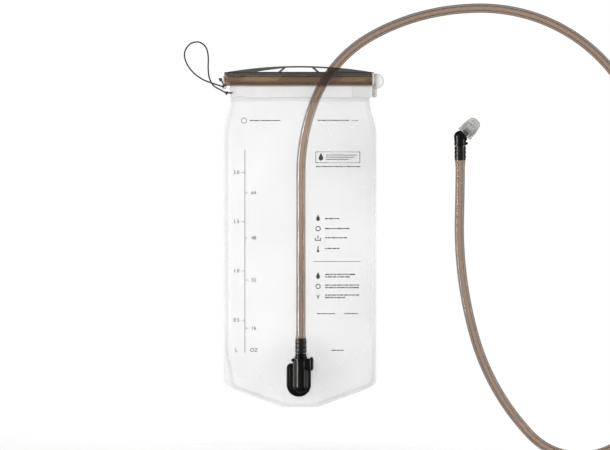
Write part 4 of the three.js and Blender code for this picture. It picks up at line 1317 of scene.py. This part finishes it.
def tube_plug():
    low, high = box_mm("tube_plug")
    bottom, top = low.z - PORT.z, high.z - PORT.z
    profile = [
        (2.2, bottom), (3.7, bottom, 0.3), (4.1, bottom + 0.7), (4.1, -15), (3.0, -15), (3.0, -13),
        (4.1, -13), (4.1, 0.3), (6.6, 0.3, 0.5), (7.0, 1.2, 0.4), (7.0, 2.5, 0.5), (5.9, 2.9, 0.4),
        (5.9, 3.7, 0.4), (6.7, 4.1, 0.4), (6.7, 5.3, 0.6), (2.9, 5.3), *barb_profile(5.5, 1),
        (2.7, top), (2.2, top),
    ]
    parts = [turned_ring(profile, 4, BLACK, 64, PORT_PLACE)]
    placed("plug_body", parts, "tube_run", "black_plastic", "tube_plug")


# Each leg of the tube is (length, turn in degrees).
RUN_LEGS = ((197, 0), (78, -20.7), (100, -40.2), (124.5, -29.1))
LOOP_LEGS = ((66, -20), (223, -70), (234, 0), (118.1, -90))
END_LEGS = ((60.9, -46.4), (125, -27.7), (135, -17.5), (60, 1.6), (16.4, 0))
LEGS = RUN_LEGS + LOOP_LEGS + END_LEGS
TUBE_LENGTH = sum(length for length, _ in LEGS)
SPLIT_AT = sum(length for length, _ in RUN_LEGS + LOOP_LEGS[:2]) + LOOP_LEGS[2][0] / 2
TUBE_START = Vector((PORT.x, PORT.y, box_mm("tube_run")[0].z))
DROP_SPAN = (380, 480)
TUBE_RADII = (5.1, 3.2)
STRETCHED_RADII = (6.0, 3.95)
STRETCH = 16.0
BARB_LENGTH = 15.2


def route_point(distance):
    """A place on the tube's axis: a flat chain of straight legs and bends, dropping back in Y."""
    x, z, heading, left = TUBE_START.x, TUBE_START.z, math.pi / 2, distance
    for length, turn in LEGS:
        run = min(left, length)
        bend = math.radians(turn) * run / length
        chord = run if bend == 0 else run * math.sin(bend / 2) / (bend / 2)
        x += chord * math.cos(heading + bend / 2)
        z += chord * math.sin(heading + bend / 2)
        heading += bend
        left -= run
        if left <= 0:
            break
    return Vector((x, lerp(TUBE_START.y, ARCH_TOP.y, smoothstep(distance, *DROP_SPAN)), z))


def from_end(distance):
    return min(distance, TUBE_LENGTH - distance)


def wall_radii(distance):
    """Outer and inner radius: stretched over a barb at either end, with a snug fold past each tooth."""
    end = from_end(distance)
    stretched = 1 - smoothstep(end, STRETCH - 1, STRETCH + 4)
    folds = 0.5 * sum(bump(end, 2.4 + TOOTH_PITCH * i, 0.9) for i in range(TEETH)) * stretched
    return [lerp(plain, wide, stretched) + folds for plain, wide in zip(TUBE_RADII, STRETCHED_RADII)]


def light_on_run(distance):
    """Painted light on the tube: a lighter tint and a stronger painted highlight, most where it lies over the
    bag, and fading past its top.
    """
    return lerp(0.35, 1.0, smoothstep(distance, 80, 180)) * (1 - smoothstep(distance, 230, 330))


def tube_piece(start, end):
    """A length of tube whose bore, and the ends stretched over barbs, have looks of their own."""
    stations = []
    distance = start
    while distance < end - 1e-6:
        stations.append(distance)
        distance += 1.0 if from_end(distance) < STRETCH + 6 else 5.0
    stations.append(end)
    points = [route_point(station) for station in stations]
    outer, inner = zip(*(wall_radii(station) for station in stations))
    piece = swept(points, outer, TUBE, 36, inner)
    piece.data.materials.append(TUBE_BORE)
    piece.data.materials.append(TUBE_ON_BARB)
    tree = nearest_in(points)
    for face in piece.data.polygons:
        _, nearest, away = tree.find(face.center)
        if away < (outer[nearest] + inner[nearest]) / 2 * MM:
            face.material_index = 1
        elif from_end(stations[nearest]) < BARB_LENGTH:
            face.material_index = 2
    # Painted light: where shine is high the tube gets a lighter tint and a stronger painted highlight.
    shine = piece.data.attributes.new("shine", "FLOAT", "POINT")
    along = (stations[tree.find(vertex.co)[1]] for vertex in piece.data.vertices)
    shine.data.foreach_set("value", [light_on_run(distance) for distance in along])
    piece.visible_shadow = False
    return [piece]


def drink_tube():
    """Two lengths that meet inside the loop; each is one piece across its joint."""
    side = Vector((26, 0, 0))
    blended("tube_upper", tube_piece(0, SPLIT_AT), ["tube_run", "tube_loop"],
            ARCH_TOP - side, ARCH_TOP + side)
    blended("tube_lower", tube_piece(SPLIT_AT, TUBE_LENGTH), ["tube_end"],
            LOOP_FOOT + side, LOOP_FOOT - side)


# ---- the mouthpiece


KNUCKLE_Z = 10.1
KNUCKLE_RADIUS = 6.85


def elbow_stem():
    """The barb in the tube's end, and the elbow's flanged foot above it."""
    barb = barb_profile(0, -1)
    end = barb[-1][1] - 0.5
    profile = [(2.2, end), (2.7, end), *reversed(barb), (2.9, 0.35), (6.1, 0.35, 0.5), (6.6, 1.4, 0.5),
               (6.6, 2.9, 0.3), (6.3, 3.2, 0.2), (6.3, 6.6), (2.2, 6.6)]
    return turned_ring(profile, 4, BLACK, 56, Matrix.Translation(TUBE_TOP))


def elbow_knuckle():
    """The round shoulder of the elbow: a rounded body that leans into a neck along the valve's axis."""
    centre = Matrix.Translation(TUBE_TOP + Vector((0, 0, KNUCKLE_Z)))
    crown = arc((0, 0), KNUCKLE_RADIUS, -12, 90, 22)[:-1] + [(0, KNUCKLE_RADIUS)]
    shoulder = turned([(0, -5.4), (6.3, -5.4), (6.6, -3.4)] + crown, BLACK, 56, centre)
    neck = rounded([(0, 0), (6.5, 0), (6.5, 4.4, 1.6), (4.6, 6.1, 0.5), (0, 6.1)], 5)
    return [shoulder, turned(neck, BLACK, 56, VALVE_PLACE)]


def elbow():
    nub = rounded([(0, -1.4), (1.4, -1.4, 0.6), (1.4, 1.8, 0.9), (0, 1.8)], 5)
    nub_place = Matrix.Translation(TUBE_TOP + Vector((6.6, 0, 2.9))) @ Matrix.Rotation(math.pi / 2, 4, "Y")
    spigot = [(2.2, 4), (4.0, 4), (4.0, 11.7), (3.1, 11.7), (3.1, 12.9), (4.0, 12.9), (4.0, 13.9, 0.4),
              (2.2, 13.9)]
    parts = [elbow_stem(), *elbow_knuckle(), turned(nub, BLACK, 24, nub_place),
             turned_ring(spigot, 3, BLACK, 48, VALVE_PLACE)]
    placed("elbow_body", parts, "elbow", "black_plastic", "elbow")


def valve_core():
    profile = [(4.3, 10.9), (6.1, 10.9, 0.3), (6.1, 18.9, 0.5), (2.5, 20.9, 0.3), (2.5, 14.2), (4.3, 14.2)]
    parts = [turned_ring(profile, 3, CLEAR, 56, VALVE_PLACE)]
    placed("core_insert", parts, "elbow", "clear_plastic", "valve_core")


def twist_collar():
    """A gripping collar: scalloped rim, a waist, and a sleeve inside the bite valve."""
    piece = turned_ring([
        (6.4, 6.5), (8.8, 6.5, 0.6), (9.1, 7.6, 0.6), (9.1, 8.8, 0.5), (8.3, 9.3, 0.3), (8.3, 9.8, 0.2),
        (7.4, 9.9, 0.2), (7.4, 15.9, 0.3), (6.4, 15.9),
    ], 4, CLEAR, 120)
    scallops, depth, rim_inside = 20, 0.012, 8.0
    for vertex in piece.data.vertices:
        x, y, _ = vertex.co
        if math.hypot(x, y) > rim_inside * MM:
            share = 1 - depth * (0.5 + 0.5 * math.cos(scallops * math.atan2(y, x)))
            vertex.co.x, vertex.co.y = x * share, y * share
    moved(piece, VALVE_PLACE)
    placed("collar_grip", [piece], "valve", "clear_plastic", "twist_collar")


def bite_valve():
    """A soft cap: ribs round its root, a waist, an oval bulb that narrows to a rounded, slit end."""
    outer = [(7.7, 10.4), (8.9, 10.4, 0.5), (8.9, 11.7, 0.4), (8.25, 12.2, 0.3), (8.25, 12.8, 0.3),
             (8.8, 13.3, 0.4), (8.8, 14.4, 0.5), (8.35, 15.2, 0.6), (8.5, 16.8, 1.0), (7.6, 20.5, 3.0),
             (6.9, 24.3, 2.5), (4.3, 27.6, 2.6), (0, 27.6)]
    inner = [(0, 25.0), (3.6, 24.6, 1.2), (5.1, 22.2, 1.6), (7.0, 17.5, 1.5), (7.7, 16.3), (7.7, 10.4)]
    piece = turned(rounded(outer, 5) + rounded(inner, 4)[:-1], SILICONE, 72)
    cut_away(piece, rounded_box((-0.28, -3.5, 21), (0.28, 3.5, 29), 0.2, SILICONE, 2))
    flatten_mouth(piece)
    moved(piece, VALVE_PLACE)
    for face in piece.data.polygons:
        face.use_smooth = True
    placed("bite_cap", [piece], "valve", "silicone", "bite_valve")


def flatten_mouth(piece):
    """The end is a shallow oval with a crease either side of the slit."""
    for vertex in piece.data.vertices:
        height = vertex.co.z / MM
        crease = 0.5 * bump(vertex.co.x / MM, 0, 1.6) * smoothstep(height, 26, 27.4)
        vertex.co.x *= 1 - 0.07 * smoothstep(height, 16, 27)
        vertex.co.z -= crease * MM


# ---- carried CAD nodes


def carried_nodes():
    """The pieces inside the port and valve keep their CAD shape, with softened edges."""
    looks = {"port_poppet": MILKY, "poppet_seal": RUBBER, "latch_plate": BLACK, "plug_o_ring": RUBBER,
             "stem_o_ring": RUBBER}
    for name, material in looks.items():
        node = frame["nodes"][name]
        if not node.material_slots:
            node.data.materials.append(material)
        for slot in node.material_slots:
            slot.link = "OBJECT"
            slot.material = material
        soften = node.modifiers.new("soft_edges", "BEVEL")
        soften.width = 0.12 * MM
        soften.segments = 2
        soften.limit_method = "ANGLE"
        soften.angle_limit = math.radians(50)


# ---- studio (in metres)


FLOOR_RADIUS = 1.1
FLOOR_GAP = 0.006
CAMERA_DISTANCE = 4.0
SEEN_WIDTH = 0.671
CAMERA_X, CAMERA_Z = 0.0055, 0.022


def floor_look(centre):
    """Pale and faintly grained, fading out towards the floor's rim."""
    look = new_look("pale_floor")
    away = look.node("VectorMath", {0: look.place(), 1: centre}, operation="DISTANCE").outputs["Value"]
    return look.finished({
        "Base Color": look.ramp(look.noise(40, 5), grey(0.97), grey(0.99)),
        "Roughness": 0.9,
        "Specular IOR Level": 0.1,
        "Alpha": look.scaled(away, 1.0, 0.0, FLOOR_RADIUS * 0.35, FLOOR_RADIUS * 0.95),
    })


def floor():
    """A disc under the bladder, which glossy surfaces don't mirror."""
    low, high = CAD_BOX
    centre = Vector(((low[0] + high[0]) / 2, 0, low[2] - FLOOR_GAP))
    rim = arc(centre.xy, FLOOR_RADIUS, 0, 360, 96)[:-1]
    mesh = bpy.data.meshes.new("floor")
    mesh.from_pydata([(x, y, centre.z) for x, y in rim], [], [range(len(rim))])
    mesh.materials.append(floor_look(centre))
    piece = add_object("floor", mesh)
    piece.visible_glossy = False


def studio_world():
    """White to the camera, a soft bright room to the surfaces, dimmer in reflections."""
    look = Look(bpy.data.worlds.new("studio"))
    bpy.context.scene.world = look.owner
    rays = look.node("LightPath", {}).outputs
    room = look.node("Mix", {"Factor": rays["Is Glossy Ray"], "A": 0.3, "B": 0.06}).outputs["Result"]
    strength = look.node("Mix", {"Factor": rays["Is Camera Ray"], "A": room, "B": 1.0}).outputs["Result"]
    look.fill(look.tree.nodes["Background"], {"Color": (1, 1, 1, 1), "Strength": strength})


def soft_light(name, place, aim, size, watts, mirrored=True):
    data = bpy.data.lights.new(name, "AREA")
    data.shape = "RECTANGLE"
    data.size, data.size_y = size
    data.energy = watts
    lamp = add_object(name, data)
    lamp.visible_glossy = mirrored
    lamp.location = place
    lamp.rotation_euler = (Vector(aim) - Vector(place)).to_track_quat("-Z", "Y").to_euler()


def camera():
    """A long lens, level with the bag and square to its front."""
    data = bpy.data.cameras.new("camera")
    data.sensor_width = 36
    data.lens = data.sensor_width * CAMERA_DISTANCE / SEEN_WIDTH
    data.clip_end = 50
    eye = add_object("camera", data)
    eye.location = (CAMERA_X, -CAMERA_DISTANCE, CAMERA_Z)
    eye.rotation_euler = (math.pi / 2, 0, 0)
    bpy.context.scene.camera = eye


def studio():
    scene = bpy.context.scene
    scene.view_settings.view_transform = "Standard"
    scene.cycles.transparent_max_bounces = 40
    floor()
    studio_world()
    soft_light("key", (-1.45, -0.68, 0.05), (0.0, 0, 0.0), (0.3, 1.2), 17)
    soft_light("fill", (-0.3, -3.2, 1.1), (0.0, 0, 0.0), (2.4, 2.4), 56, mirrored=False)
    soft_light("rim", (1.5, -0.5, 0.2), (0.05, 0, 0.0), (0.2, 1.2), 5)
    soft_light("back", (0.5, 1.9, 1.0), (0.05, 0, 0.0), (1.4, 1.4), 42, mirrored=False)
    camera()


bag()
front_print()
closure_strips()
end_stop()
slider()
tether()
port_flange()
port_housing()
release_button()
springs()
tube_plug()
drink_tube()
elbow()
valve_core()
twist_collar()
bite_valve()
carried_nodes()
studio()
